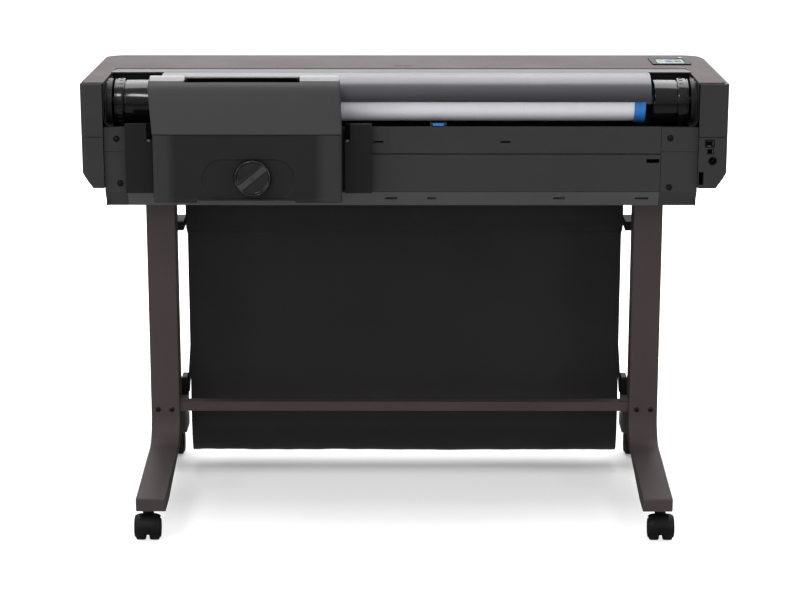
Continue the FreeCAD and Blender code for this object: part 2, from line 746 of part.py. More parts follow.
lower_outline = [
    (dims.panel_y, dims.chamfer_z + 0.6),
    (dims.panel_y, dims.panel_seam_z - 1),
    (dims.panel_y + 18, dims.panel_seam_z - 1),
    (dims.panel_y + 18, dims.panel_seam_z - 3.5),
    (panel_inner, dims.panel_seam_z - 3.5),
    (panel_inner, dims.chamfer_z + 1.9),
]
lower_sheet = extrude("lower_sheet", "YZ", lower_outline, SHEET_LEFT, SHEET_RIGHT,
                      rounds=[([lower_outline[1]], 1.2)])
carve(lower_sheet, "XZ", rect(494 - SHEET_LEFT, 520 - SHEET_LEFT, 771.5, 779.5), *PANEL_CUT_Y)
done(lower_sheet, "rear_lower_panel")

SCREWS = ((541.6, 823), (541.6, 721), (-586.5, 821), (-581, 729))  # x, z
group([rod("Y", 3.4, dims.panel_y - 2, dims.panel_y, x, z) for x, z in SCREWS],
      "panel_screws")

# ------------------------------------------------------------------ side plates and roll bay
PLATE_LEFT, PLATE_RIGHT = -606.4, 592.4  # inner faces of the side plates
PLATE_THICK = 2.6
PLATE_OUTLINE = [  # y, z
    (-150, 725), (-150, 838), (-160, 860), (-160, 900), (-130, 931),
    (60, 924), (270, 916), (284, 900), (284, 681), (-120, 681),
]
SHAFT_RAD, PINCH_SHAFT_RAD = 6, 3
pinch_z = dims.feed_z + dims.feed_rad + dims.pinch_rad + gap


def on_spindle(radius, lo, hi, label=None):
    """A cylinder round the spindle axis."""
    return rod("X", radius, lo, hi, dims.axis_y, dims.axis_z, label)


# The plates carry the spindle, the feed roller, the pinch rollers and the rail.
plates = []
for x0, x1, boss_0, boss_1 in (
        (PLATE_LEFT - PLATE_THICK, PLATE_LEFT, PLATE_LEFT, -596),
        (PLATE_RIGHT, PLATE_RIGHT + PLATE_THICK, 584, PLATE_RIGHT)):
    plate = extrude("plate", "YZ", PLATE_OUTLINE, x0, x1)
    plates.append(less(fuse([plate, on_spindle(47.5, boss_0, boss_1)]), [
        on_spindle(dims.spindle_rad + gap, min(x0, boss_0) - 5, max(x1, boss_1) + 5),
        rod("X", SHAFT_RAD + gap, x0 - 5, x1 + 5, dims.feed_y, dims.feed_z),
        rod("X", PINCH_SHAFT_RAD + gap, x0 - 5, x1 + 5, dims.feed_y, pinch_z),
    ]))
group(plates, "side_plates")

axis_y, axis_z = val(dims.axis_y), val(dims.axis_z)


def polar(radius, angle):
    """The (y, z) point at an angle round the spindle axis, 0 being to the front."""
    return axis_y + val(radius) * math.cos(angle), axis_z + val(radius) * math.sin(angle)


# Roll bay: a trough under the roll, with a front wall.
bay_start, bay_end = math.radians(224), 2 * math.pi
bay_bulge = math.tan((bay_end - bay_start) / 4.0)
bay_outer_rad = dims.bay_rad + 2.5
BAY_TOP = 926
inner_end, outer_end = polar(dims.bay_rad, bay_end), polar(bay_outer_rad, bay_end)
trough = extrude("trough", "YZ", [
    (*polar(dims.bay_rad, bay_start), bay_bulge), inner_end, (inner_end[0], BAY_TOP),
    (outer_end[0], BAY_TOP), (*outer_end, -bay_bulge), polar(bay_outer_rad, bay_start),
], PLATE_LEFT, PLATE_RIGHT)
# the paper leaves the bay through a slot low in its front side
less(trough, [box(-490, 480, -76, -40, 838, 845)], "roll_bay")

# ------------------------------------------------------------------ body: top and roll cover
HINGE_Y = 60
COVER_LEFT, COVER_RIGHT = -654.5, 650
BUTTON = (600, 217)  # x, y
BUTTON_RAD = 6

top_sheet = extrude("top_sheet", "YZ", top_band(-168, 296, dims.skin), COVER_LEFT, COVER_RIGHT)
soften_where(top_sheet, lambda mid, edge: along(edge, "z") and mid.y > 290, 40)
soften_where(top_sheet, lambda mid, edge: along(edge, "z") and mid.y < -160, 11)
roll_opening = rect(-610 - COVER_LEFT, 596 - COVER_LEFT, -200, HINGE_Y + 3)
carve(top_sheet, "XY", roll_opening, 900, 950)
top_holes = []
for x0, x1 in ((-19, -9), (3, 13)):  # two slots with round ends
    top_holes += [rod("Z", 3.2, 920, 932, x0, 104), rod("Z", 3.2, 920, 932, x1, 104),
                  box(x0, x1, 100.8, 107.2, 920, 932)]
top_holes.append(rod("Z", BUTTON_RAD + gap, 915, 940, *BUTTON))
less(top_sheet, top_holes, "top_cover")

# Roll cover: hinged at the crease, flat at first and then rolled round the spindle axis.
LIP_LEFT, LIP_RIGHT = -607, 593  # ends of the flat part
ROLLED_LEFT, ROLLED_RIGHT = -495, 502  # ends of the rolled part
outer_rad, cover_skin = val(dims.cover_rad), val(dims.cover_skin)
inner_rad = outer_rad - cover_skin
hinge_z = top_at(HINGE_Y, 1.2)
rise, run = val(hinge_z) - axis_z, HINGE_Y - axis_y
# the flat part meets the outer radius as a tangent
curl_start = math.atan2(rise, run) + math.acos(outer_rad / math.hypot(rise, run))
curl_end = math.pi - math.radians(9)
curl_bulge = math.tan((curl_end - curl_start) / 4)
roll_sheet = extrude("roll_sheet", "YZ", [
    (HINGE_Y, hinge_z), (*polar(outer_rad, curl_start), curl_bulge),
    polar(outer_rad, curl_end), (*polar(inner_rad, curl_end), -curl_bulge),
    polar(inner_rad, curl_start), (HINGE_Y, hinge_z - cover_skin)], LIP_LEFT, LIP_RIGHT)
# at both ends the rolled part is cut back, so that the spindle caps can be reached
cut_left, cut_right = ROLLED_LEFT - LIP_LEFT, ROLLED_RIGHT - LIP_LEFT
beyond = LIP_RIGHT - LIP_LEFT + 1
carve(roll_sheet, "XY", [(-1, -200), (cut_left, -200), (cut_left, -62),
                         (cut_left - 8, -54), (-1, -54)], 850, 960)
carve(roll_sheet, "XY", [(cut_right, -200), (beyond, -200), (beyond, -54),
                         (cut_right + 8, -54), (cut_right, -62)], 850, 960)
# a narrow skirt closes the gap under each end
skirt_outline = [(-54, 931), (-54, 938.6), (58, 927.6), (58, 926)]
skirts = [extrude("skirt", "YZ", skirt_outline, x0, x1)
          for x0, x1 in ((-606.2, -603.8), (589.8, 592.2))]
fuse([roll_sheet] + skirts, "roll_cover")

# ------------------------------------------------------------------ spindle, hubs and paper
on_spindle(dims.spindle_rad, -608.5, 594.5, "spindle_shaft")
drum_rad = dims.hub_rad - 3


def spindle_cap(outer, step, inner):
    """A flange from outer to step and a thinner drum from step to inner, all along X."""

    def outside_rim(mid, edge):
        on_face = any(abs(mid.x - x) < 0.01 for x in (outer, step, inner))
        return circular(mid, edge) and on_face and not (
            mid.x == step and abs(edge.Curve.Radius - val(drum_rad)) < 0.01)

    hub = fuse([on_spindle(dims.hub_rad, *sorted((outer, step))),
                on_spindle(drum_rad, *sorted((step, inner)))])
    hub = rounded(hub, 1.5, outside_rim)
    return less(hub, [on_spindle(dims.spindle_rad, -700, 700)])


group([spindle_cap(-592, -570, -500), spindle_cap(580, 558, 507)], "spindle_caps")
less(rounded(on_spindle(dims.roll_rad + 3, 470.4, 496), 1.2, circular),
     [on_spindle(dims.spindle_rad, 400, 520)], "blue_hub")
less(on_spindle(dims.roll_rad, -480, 470), [on_spindle(dims.core_rad, -481, 471)],
     "paper_roll")

# ------------------------------------------------------------------ sheet feeder
# A plate behind the rear panels with a post at each side, each post notched at its top.
less(fuse([
    box(-567, -66, -172, dims.panel_y, 713, 842),
    box(-567, -512, -186, -171, 713, 855),
    box(-121, -66, -186, -171, 713, 855),
]), [box(-523, -511, -187, -172, 823, 856), box(-122, -110, -187, -172, 823, 856)],
     "feeder_mount")

feeder_low = val(dims.feeder_low)
KNOB_SHAFT_RAD = 6
RECESS_X0, RECESS_X1, RECESS_RAD = -368, -270, 39  # oval recess in the rear face
RECESS_Y = (-233, -229)
feeder_outline = rect(dims.feeder_left, dims.feeder_right, dims.feeder_near, -172.1)
feeder = extrude("feeder_box", "XY", feeder_outline, dims.feeder_low, dims.feeder_seam,
                 rounds=[(feeder_outline[:2], 9)])
# from here on, z is measured from the feeder's underside
recess_z = 750 - feeder_low
knob_z = val(dims.knob_z) - feeder_low
soften_where(feeder, lambda mid, edge: abs(mid.z) < 0.01 and mid.y < -173, 4)
carve(feeder, "XY", rect(-500, -133, -222, -178), 8, 160)
carve(feeder, "XZ", rect(-445, -170, 4, 160), -237, -232)
carve(feeder, "XZ", ("circle", RECESS_X0, recess_z, RECESS_RAD), *RECESS_Y)
carve(feeder, "XZ", ("circle", RECESS_X1, recess_z, RECESS_RAD), *RECESS_Y)
carve(feeder, "XZ", rect(RECESS_X0, RECESS_X1, recess_z - RECESS_RAD, recess_z + RECESS_RAD),
      *RECESS_Y)
carve(feeder, "XZ", ("circle", dims.knob_x, knob_z, 38.5), *RECESS_Y)
carve(feeder, "XZ", ("circle", dims.knob_x, knob_z, KNOB_SHAFT_RAD + gap), -230, -215)
done(feeder, "feeder_body")

knob = rounded(rod("Y", dims.knob_rad, -241, -229.3, dims.knob_x, dims.knob_z), 2,
               lambda mid, edge: circular(mid, edge) and mid.y < -240)
grip = box(-30, 30, 0, 4.5, -6, 6)
tilt(grip, Vector(val(dims.knob_x), -244.5, val(dims.knob_z)), Vector(0, 1, 0), -40)
fuse([knob, grip, rod("Y", KNOB_SHAFT_RAD, -230, -216, dims.knob_x, dims.knob_z)],
     "feeder_knob")

# The lid: an outer form less an inner form, both with slanted ends.
outer_outline = [(-237, 844), (-212, 925), (-196, 940), (-170, dims.lid_top),
                 (-163, dims.lid_top - 1), (-163, 890), (-180, 844)]
inner_outline = [(-233.8, 843), (-209.2, 923.6), (-195, 936.8), (-170, dims.lid_top - 3),
                 (-160, dims.lid_top - 3.5), (-160, 843)]
lid_out = extrude("lid_out", "YZ", outer_outline, -530, -110,
                  rounds=[([outer_outline[1]], 14), ([outer_outline[2]], 14)])
lid_in = extrude("lid_in", "YZ", inner_outline, -530, -110,
                 rounds=[([inner_outline[1]], 11), ([inner_outline[2]], 11)])


def end_wedges(left_low, left_high, right_low, right_high):
    """Tools that slant both ends of the lid; each x is given at z 835 or z 950."""
    outlines = (
        [(-540, 835), (left_low, 835), (left_high, 950), (-540, 950)],
        [(right_low, 835), (right_high, 950), (-100, 950), (-100, 835)],
    )
    return [extrude("wedge", "XZ", outline, -260, -150) for outline in outlines]


lid_core = less(lid_in, end_wedges(-503, -515, -130, -134.8))
less(lid_out, end_wedges(-506.2, -518.5, -126.2, -131.2)
     + [lid_core, box(-437, -211, -178, -160, 937, 950)], "feeder_lid")

# ------------------------------------------------------------------ controls on the top
# The bezel and the screen stand above the top surface, so their drops are negative.
SCREEN_DROP = -0.9  # underside of the screen
bezel = extrude("bezel", "YZ", top_band(118, 228, 0.0, -3), 531, 614)
soften_where(bezel, lambda mid, edge: along(edge, "z"), 6)
screen_cut = extrude("screen_cut", "YZ", top_band(125.8, 206.2, SCREEN_DROP, -8), 539.8, 605.2)
less(bezel, [screen_cut, rod("Z", BUTTON_RAD + gap, 915, 940, *BUTTON)], "control_bezel")
extrude("touch_screen", "YZ", top_band(126, 206, SCREEN_DROP, -2.6), 540, 605, piece=True)
rounded(rod("Z", BUTTON_RAD, 923.2, 928.2, *BUTTON), 0.6,
        lambda mid, edge: circular(mid, edge) and mid.z > 928, "power_button")

# ------------------------------------------------------------------ front of the machine
front_outline = rect(293, 300, 803, 915)
extrude("front_cover", "YZ", front_outline, -605, 591, rounds=[(front_outline[1:3], 3)],
        piece=True)

DOOR_PIN = (298.5, 691.5)  # y, z
DOOR_PIN_RAD = 1
less(fuse([
    box(-612, 598, 285, 300, dims.pan_z, 688),
    box(-612, 371, 285, 300, 687, 795),
    box(-605.6, 591.6, 205, 286, 792, 795),
    box(371, 598, 285, 300, 792.2, 795),
]), [box(-609, 368, 284, 297, 680, 792),
     rod("X", DOOR_PIN_RAD + gap, 369.2, 372, *DOOR_PIN)], "front_panel")
# the ink door has a pin at each end of its lower edge
fuse([less(box(373, 597, 290, 300, 690, 791), [box(376, 594, 289, 297, 693, 788)]),
      rod("X", DOOR_PIN_RAD, 369.6, 376, *DOOR_PIN),
      rod("X", DOOR_PIN_RAD, 594, 598.6, *DOOR_PIN)], "ink_door")

TANK_X, TANK_PITCH, TANK_WIDE = 390, 50, 44
tanks = []
for i in range(4):
    x = TANK_X + TANK_PITCH * i
    tanks.append(rounded(box(x, x + TANK_WIDE, 150, 280, 680, 775), 4,
                         lambda mid, edge: along(edge, "z") or mid.z > 774))
group(tanks, "ink_cartridges")

# ------------------------------------------------------------------ print path
guide = extrude("guide", "YZ", [(-50, 839), (-50, 836.5), (52, 792), (52, 795)],
                PLATE_LEFT, PLATE_RIGHT)
group([box(PLATE_LEFT, PLATE_RIGHT, 100, 200, 790, 794), guide], "platen")

SHAFT_X = (-608.9, 594.9)  # both roller shafts end inside the side plates
fuse([rod("X", dims.feed_rad, -600, 588, dims.feed_y, dims.feed_z),
      rod("X", SHAFT_RAD, *SHAFT_X, dims.feed_y, dims.feed_z)], "feed_roller")
tyres = [rod("X", dims.pinch_rad, x - 22, x + 22, dims.feed_y, pinch_z)
         for x in range(-540, 541, 180)]
fuse(tyres + [rod("X", PINCH_SHAFT_RAD, *SHAFT_X, dims.feed_y, pinch_z)], "pinch_rollers")

PULLEY_X = 575
PULLEY_SHAFT_RAD = 3
belt_y, belt_z = dims.belt_y, dims.belt_z

# A rectangular tube with a pulley bracket near each end.
rail_bits = [box(PLATE_LEFT, PLATE_RIGHT, 150, 175, 850, 880)]
rail_holes = [box(PLATE_LEFT - 1, PLATE_RIGHT + 1, 153, 172, 853, 877)]
for x in (-PULLEY_X, PULLEY_X):
    rail_bits.append(box(x - 13, x + 13, 106, 152, 879, 884))
    rail_holes.append(rod("Z", PULLEY_SHAFT_RAD + gap, 870, 890, x, belt_y))
less(fuse(rail_bits), rail_holes, "carriage_rail")
for x, label in ((-PULLEY_X, "motor_pulley"), (PULLEY_X, "idler_pulley")):
    fuse([rod("Z", dims.pulley_rad, belt_z - 4, belt_z + 4, x, belt_y),
          rod("Z", PULLEY_SHAFT_RAD, belt_z + 3, belt_z + 13.5, x, belt_y),
          rod("Z", 5, belt_z + 3.5, belt_z + 5.5, x, belt_y)], label)


def racetrack(radius, lo, hi):
    """A solid round both pulleys, with straight sides."""
    return fuse([rod("Z", radius, lo, hi, -PULLEY_X, belt_y),
                 rod("Z", radius, lo, hi, PULLEY_X, belt_y),
                 box(-PULLEY_X, PULLEY_X, belt_y - radius, belt_y + radius, lo, hi)])


belt_inner = dims.pulley_rad + gap
less(racetrack(belt_inner + 1.5, belt_z - 3, belt_z + 3),
     [racetrack(belt_inner, belt_z - 4, belt_z + 4)], "carriage_belt")

# The carriage stands in front of the rail, with an arm over the rail and a tab to the belt.
carriage = rounded(box(-560, -450, 177, 262, 812, 890), 6,
                   lambda mid, edge: mid.y > 250 and (along(edge, "z") or mid.z > 889))
fuse([
    carriage,
    box(-558, -452, 147, 178, 880.2, 889),
    box(-558, -452, 146, 149.8, 866, 881),
    box(-520, -490, 127.7, 147, 868.5, 875.5),
], "print_carriage")

# ------------------------------------------------------------------ export
doc.recompute()
for obj in doc.Objects:
    if "Invalid" in obj.State or "Error" in obj.State:
        raise RuntimeError("failed: %s %s" % (obj.Name, obj.Label))
for obj in pieces:
    if obj.Shape.isNull() or not obj.Shape.isValid() or not obj.Shape.Solids:
        raise RuntimeError("bad shape: %s" % obj.Label)
os.makedirs("parts", exist_ok=True)
for obj in pieces:
    obj.Shape.exportStep("parts/%s.step" % obj.Label)
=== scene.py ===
import json
import math

import bmesh
import bpy
from mathutils import Matrix, Vector, noise

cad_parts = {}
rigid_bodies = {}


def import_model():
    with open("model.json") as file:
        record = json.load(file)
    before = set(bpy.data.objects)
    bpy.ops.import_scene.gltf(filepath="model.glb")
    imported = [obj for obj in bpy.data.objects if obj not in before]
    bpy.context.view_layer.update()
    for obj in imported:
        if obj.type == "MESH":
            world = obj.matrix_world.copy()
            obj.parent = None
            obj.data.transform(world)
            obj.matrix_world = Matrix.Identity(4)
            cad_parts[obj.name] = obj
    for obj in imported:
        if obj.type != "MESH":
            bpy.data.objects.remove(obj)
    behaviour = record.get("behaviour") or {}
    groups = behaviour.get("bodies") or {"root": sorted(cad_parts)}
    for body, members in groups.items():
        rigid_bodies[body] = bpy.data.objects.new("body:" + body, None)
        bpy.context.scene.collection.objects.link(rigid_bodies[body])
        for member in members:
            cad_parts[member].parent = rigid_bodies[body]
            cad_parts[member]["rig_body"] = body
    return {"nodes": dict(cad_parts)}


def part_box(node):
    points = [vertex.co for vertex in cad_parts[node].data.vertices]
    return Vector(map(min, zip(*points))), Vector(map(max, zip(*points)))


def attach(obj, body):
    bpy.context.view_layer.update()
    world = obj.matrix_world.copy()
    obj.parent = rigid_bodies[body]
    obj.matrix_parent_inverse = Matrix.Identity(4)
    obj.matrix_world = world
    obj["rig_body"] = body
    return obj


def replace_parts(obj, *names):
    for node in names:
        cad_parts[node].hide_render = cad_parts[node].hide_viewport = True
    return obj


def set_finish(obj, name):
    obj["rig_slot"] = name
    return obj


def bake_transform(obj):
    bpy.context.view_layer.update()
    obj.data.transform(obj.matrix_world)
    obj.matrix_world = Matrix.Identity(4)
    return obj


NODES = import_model()["nodes"]
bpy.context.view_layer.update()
scene = bpy.context.scene
TAU = 2 * math.pi


# ---------------------------------------------------------------- node graphs
def set_range(node, span, to):
    """Makes a Map Range node carry span onto to."""
    for socket, value in zip(node.inputs[1:5], (*span, *to)):
        socket.default_value = value


class Graph:
    """One node material around a Principled shader, with short ways to add nodes."""

    def __init__(self, name):
        self.mat = bpy.data.materials.new(name)
        self.mat.use_nodes = True
        self.tree = self.mat.node_tree
        self.tree.nodes.clear()
        output = self.add("ShaderNodeOutputMaterial")
        self.bsdf = self.add("ShaderNodeBsdfPrincipled")
        self.link(self.bsdf.outputs[0], output.inputs["Surface"])
        self.coord = self.add("ShaderNodeTexCoord").outputs["Object"]

    def add(self, kind, **props):
        node = self.tree.nodes.new(kind)
        for key, value in props.items():
            setattr(node, key, value)
        return node

    def link(self, source, target):
        self.tree.links.new(source, target)

    def feed(self, socket, value):
        """Gives a socket a number, a colour or another node's output."""
        if isinstance(value, (int, float)):
            socket.default_value = value
        elif isinstance(value, tuple):
            socket.default_value = (*value, 1)
        else:
            self.link(value, socket)

    def set(self, name, value):
        self.feed(self.bsdf.inputs[name], value)

    def noise(self, scale, detail, rough, stretch=None):
        node = self.add("ShaderNodeTexNoise")
        node.inputs["Scale"].default_value = scale
        node.inputs["Detail"].default_value = detail
        node.inputs["Roughness"].default_value = rough
        vector = self.coord
        if stretch:
            mapping = self.add("ShaderNodeMapping")
            mapping.inputs["Scale"].default_value = stretch
            self.link(vector, mapping.inputs["Vector"])
            vector = mapping.outputs[0]
        self.link(vector, node.inputs["Vector"])
        return node.outputs[0]

    def voronoi(self, scale):
        node = self.add("ShaderNodeTexVoronoi", feature="F1")
        node.inputs["Scale"].default_value = scale
        self.link(self.coord, node.inputs["Vector"])
        return node.outputs["Distance"]

    def remap(self, value, to=(0, 1), span=(0.3, 0.7)):
        node = self.add("ShaderNodeMapRange")
        set_range(node, span, to)
        self.link(value, node.inputs[0])
        return node.outputs[0]

    def math(self, operation, *values, clamp=False):
        node = self.add("ShaderNodeMath", operation=operation, use_clamp=clamp)
        for socket, value in zip(node.inputs, values):
            self.feed(socket, value)
        return node.outputs[0]

    def times(self, a, b):
        return self.math("MULTIPLY", a, b)

    def plus(self, a, b, clamp=False):
        return self.math("ADD", a, b, clamp=clamp)

    def mix(self, factor, a, b):
        node = self.add("ShaderNodeMix", data_type="RGBA")
        self.feed(node.inputs["Factor"], factor)
        self.feed(node.inputs[6], a)
        self.feed(node.inputs[7], b)
        return node.outputs[2]

    def bump(self, height, strength, distance, normal=None):
        node = self.add("ShaderNodeBump")
        node.inputs["Strength"].default_value = strength
        node.inputs["Distance"].default_value = distance
        self.link(height, node.inputs["Height"])
        if normal is not None:
            self.link(normal, node.inputs["Normal"])
        return node.outputs[0]

    def soft_normal(self, radius):
        """The surface normal with its edges rounded."""
        bevel = self.add("ShaderNodeBevel", samples=3)
        bevel.inputs["Radius"].default_value = radius
        return bevel.outputs[0]

    def normal(self):
        return self.add("ShaderNodeNewGeometry").outputs["Normal"]

    def edge_mask(self, soft):
        """0 on flat ground, 1 on an edge, from how far the soft normal leans."""
        dot = self.add("ShaderNodeVectorMath", operation="DOT_PRODUCT")
        self.link(soft, dot.inputs[0])
        self.link(self.normal(), dot.inputs[1])
        return self.remap(dot.outputs["Value"], span=(1.0, 0.90))

    def split(self, vector=None):
        """X, Y and Z of a vector, by default the object coordinates."""
        node = self.add("ShaderNodeSeparateXYZ")
        self.link(vector or self.coord, node.inputs[0])
        return node.outputs


def lin(code):
    """sRGB hex to linear."""
    out = []
    for i in (0, 2, 4):
        c = int(code[i:i + 2], 16) / 255
        out.append(c / 12.92 if c <= 0.04045 else ((c + 0.055) / 1.055) ** 2.4)
    return tuple(out)


def tint(colour, factor):
    return tuple(min(1.0, c * factor) for c in colour)


# ---------------------------------------------------------------- materials
def plastic(name, code, rough, grain, depth, mottle, edge, coat=0.0, spec=0.5, edge_r=0.0010):
    """Moulded plastic with spark grain of a given scale and depth, slow mottling and rubbed edges.

    edge is how much the rubbed edges lighten, edge_r their radius."""
    g = Graph(name)
    base = lin(code)
    slow = g.noise(scale=7, detail=3, rough=0.55)
    pores = g.noise(scale=grain, detail=2, rough=0.6)
    speck = g.noise(scale=grain * 0.35, detail=3, rough=0.7)
    colour = g.mix(g.remap(slow), tint(base, 1 - mottle), tint(base, 1 + mottle))
    colour = g.mix(g.remap(speck, to=(0.0, 0.35), span=(0.35, 0.7)), colour, tint(base, 1.25))
    soft = g.soft_normal(edge_r)
    patches = g.remap(g.noise(scale=60, detail=4, rough=0.7), to=(0.4, 1.0), span=(0.35, 0.65))
    worn = g.times(g.edge_mask(soft), patches)
    g.set("Base Color", g.mix(g.times(worn, edge), colour, tint(base, 2.4)))
    slow_rough = g.remap(slow, to=(rough - 0.06, rough + 0.06))
    g.set("Roughness", g.plus(slow_rough, g.remap(speck, to=(-0.03, 0.03))))
    g.set("Specular IOR Level", spec)
    if coat:
        g.set("Coat Weight", coat)
        g.set("Coat Roughness", 0.06)
    g.set("Normal", g.bump(pores, strength=depth, distance=0.0002, normal=soft))
    return g.mat


def powder(name, code, rough, scale, depth, edge=0.1, spec=0.25):
    """Powder coat on steel: orange peel, pale and dark flecks, lighter edges."""
    g = Graph(name)
    base = lin(code)
    peel = g.noise(scale=scale, detail=2, rough=0.5)
    fleck = g.voronoi(scale * 1.4)
    slow = g.noise(scale=5, detail=4, rough=0.6)
    pits = g.noise(scale=scale * 0.8, detail=3, rough=0.7)
    colour = g.mix(g.remap(slow), tint(base, 0.92), tint(base, 1.08))
    colour = g.mix(g.remap(fleck, to=(0.30, 0.0), span=(0.05, 0.35)), colour, tint(base, 1.7))
    colour = g.mix(g.remap(pits, to=(0.0, 0.4), span=(0.55, 0.75)), colour, tint(base, 0.55))
    soft = g.soft_normal(0.0012)
    g.set("Base Color", g.mix(g.times(g.edge_mask(soft), edge), colour, tint(base, 2.6)))
    g.set("Roughness", g.remap(slow, to=(rough - 0.05, rough + 0.05)))
    g.set("Specular IOR Level", spec)
    g.set("Normal", g.bump(peel, strength=depth, distance=0.0003, normal=soft))
    return g.mat


def gloss(name, code):
    """Glossy moulded plastic with faint handling marks and a slight ripple."""
    g = Graph(name)
    base = lin(code)
    marks = g.noise(scale=38, detail=6, rough=0.75)
    ripple = g.noise(scale=9, detail=2, rough=0.4)
    g.set("Base Color", g.mix(g.remap(marks, to=(0, 0.35), span=(0.4, 0.7)), base, tint(base, 1.6)))
    g.set("Roughness", g.remap(marks, to=(0.14, 0.24), span=(0.35, 0.75)))
    g.set("Coat Weight", 0.38)
    g.set("Coat Roughness", 0.08)
    g.set("Specular IOR Level", 0.40)
    soft = g.soft_normal(0.0008)
    g.set("Normal", g.bump(ripple, strength=0.04, distance=0.004, normal=soft))
    return g.mat


def metal(name, code, rough=0.3, stretch=(2, 400, 400), depth=0.15):
    """Drawn or rolled steel with stretched lines and some tarnish."""
    g = Graph(name)
    base = lin(code)
    tarnish = 0.12
    lines = g.noise(scale=3, detail=4, rough=0.7, stretch=stretch)
    slow = g.noise(scale=18, detail=5, rough=0.65)
    g.set("Base Color", g.mix(g.remap(slow, span=(0.35, 0.7)), base, tint(base, 1 - 2 * tarnish)))
    g.set("Metallic", 1.0)
    line_rough = g.remap(lines, to=(rough - 0.08, rough + 0.1))
    g.set("Roughness", g.plus(line_rough, g.remap(slow, to=(0, tarnish), span=(0.4, 0.7))))
    soft = g.soft_normal(0.0006)
    g.set("Normal", g.bump(lines, strength=depth, distance=0.0002, normal=soft))
    return g.mat


def rubber(name, code, rough, groove_pitch=None):
    """Dusty rubber, with grooves repeated along X if a pitch is given."""
    g = Graph(name)
    base = lin(code)
    dust = g.noise(scale=45, detail=6, rough=0.7)
    grain = g.noise(scale=1600, detail=2, rough=0.6)
    g.set("Base Color", g.mix(g.remap(dust, to=(0, 0.5), span=(0.45, 0.75)), base, tint(base, 2.2)))
    g.set("Roughness", g.remap(dust, to=(rough - 0.08, rough + 0.12)))
    normal = g.bump(grain, strength=0.3, distance=0.0002, normal=g.soft_normal(0.0008))
    if groove_pitch:
        wave = g.math("SINE", g.times(g.split()[0], TAU / groove_pitch))
        normal = g.bump(wave, strength=0.6, distance=0.0005, normal=normal)
    g.set("Normal", normal)
    return g.mat


def paper(name):
    """Coated paper wound on a roll: faint winding lines and a cool white."""
    g = Graph(name)
    lines = g.noise(scale=2, detail=3, rough=0.6, stretch=(900, 4, 4))
    fibre = g.noise(scale=600, detail=4, rough=0.7)
    colour = g.mix(g.remap(lines, span=(0.35, 0.65)), (0.80, 0.79, 0.85), (0.86, 0.855, 0.90))
    colour = g.mix(g.remap(fibre, to=(0, 0.2), span=(0.5, 0.8)), colour, (0.70, 0.69, 0.73))
    g.set("Base Color", colour)
    g.set("Roughness", 0.5)
    g.set("Normal", g.bump(g.plus(fibre, lines), strength=0.12, distance=0.0003))
    return g.mat


def woven(name, code):
    """Plain weave: over and under threads, fuzz, threads coloured darker in their hollows and
    lighter on their crowns as painted shade and highlight.
    """
    g = Graph(name)
    base = lin(code)
    x, y, z = g.split()
    sway = g.noise(scale=26, detail=3, rough=0.5)
    per_metre = TAU / 0.00135  # one wave per thread
    across = g.plus(g.times(x, per_metre), g.times(sway, 3.2))
    along = g.plus(g.times(z, per_metre), g.times(sway, 2.6))
    along = g.plus(along, g.times(y, per_metre * 0.8))
    warp = g.math("SINE", across)
    weft = g.math("SINE", along)
    checker = g.times(g.math("SINE", g.times(across, 0.5)), g.math("SINE", g.times(along, 0.5)))
    over = g.remap(checker, span=(-0.3, 0.3))
    warp_height = g.times(g.math("ABSOLUTE", warp), over)
    weft_height = g.times(g.math("ABSOLUTE", weft), g.math("SUBTRACT", 1.0, over))
    height = g.plus(warp_height, weft_height)
    fuzz = g.noise(scale=2600, detail=3, rough=0.75)
    slow = g.noise(scale=6, detail=5, rough=0.6)
    # painted shade and highlight: darker where the threads dip, lighter on their crowns
    colour = g.mix(height, tint(base, 0.55), tint(base, 1.30))
    colour = g.mix(g.remap(fuzz, to=(0, 0.5), span=(0.55, 0.8)), colour, tint(base, 2.0))
    colour = g.mix(g.remap(slow, to=(0, 0.5), span=(0.35, 0.7)), colour, tint(base, 0.8))
    g.set("Base Color", colour)
    g.set("Roughness", 0.86)
    g.set("Specular IOR Level", 0.25)
    g.set("Sheen Weight", 0.12)
    g.set("Sheen Roughness", 0.5)
    threads = g.bump(height, strength=0.55, distance=0.0004)
    g.set("Normal", g.bump(fuzz, strength=0.25, distance=0.0002, normal=threads))
    return g.mat


def feeder_plastic(name):
    """The sheet feeder's dark moulding, coloured paler at both ends in X: painted light on the
    raised pillars beside the darker, shaded recess.
    """
    g = Graph(name)
    x = g.split()[0]
    # painted light and shade: the pillars at both ends get a paler colour and the recess between
    # them a darker one
    left = g.remap(x, to=(1.0, 0.0), span=(-0.480, -0.460))
    painted_lit_pillars = g.plus(left, g.remap(x, span=(-0.180, -0.160)), clamp=True)
    slow = g.noise(scale=7, detail=3, rough=0.55)
    grain = g.noise(scale=1500, detail=2, rough=0.6)
    speck = g.noise(scale=520, detail=3, rough=0.7)
    colour = g.mix(painted_lit_pillars, lin("232324"), lin("383839"))
    colour = g.mix(g.remap(slow, to=(0, 0.4)), colour, lin("28282a"))
    colour = g.mix(g.remap(speck, to=(0.0, 0.25), span=(0.35, 0.7)), colour, lin("303031"))
    soft = g.soft_normal(0.0010)
    g.set("Base Color", g.mix(g.times(g.edge_mask(soft), 0.15), colour, (0.09, 0.09, 0.09)))
    g.set("Roughness", g.remap(slow, to=(0.42, 0.50)))
    g.set("Specular IOR Level", 0.10)
    g.set("Normal", g.bump(grain, strength=0.24, distance=0.0002, normal=soft))
    return g.mat


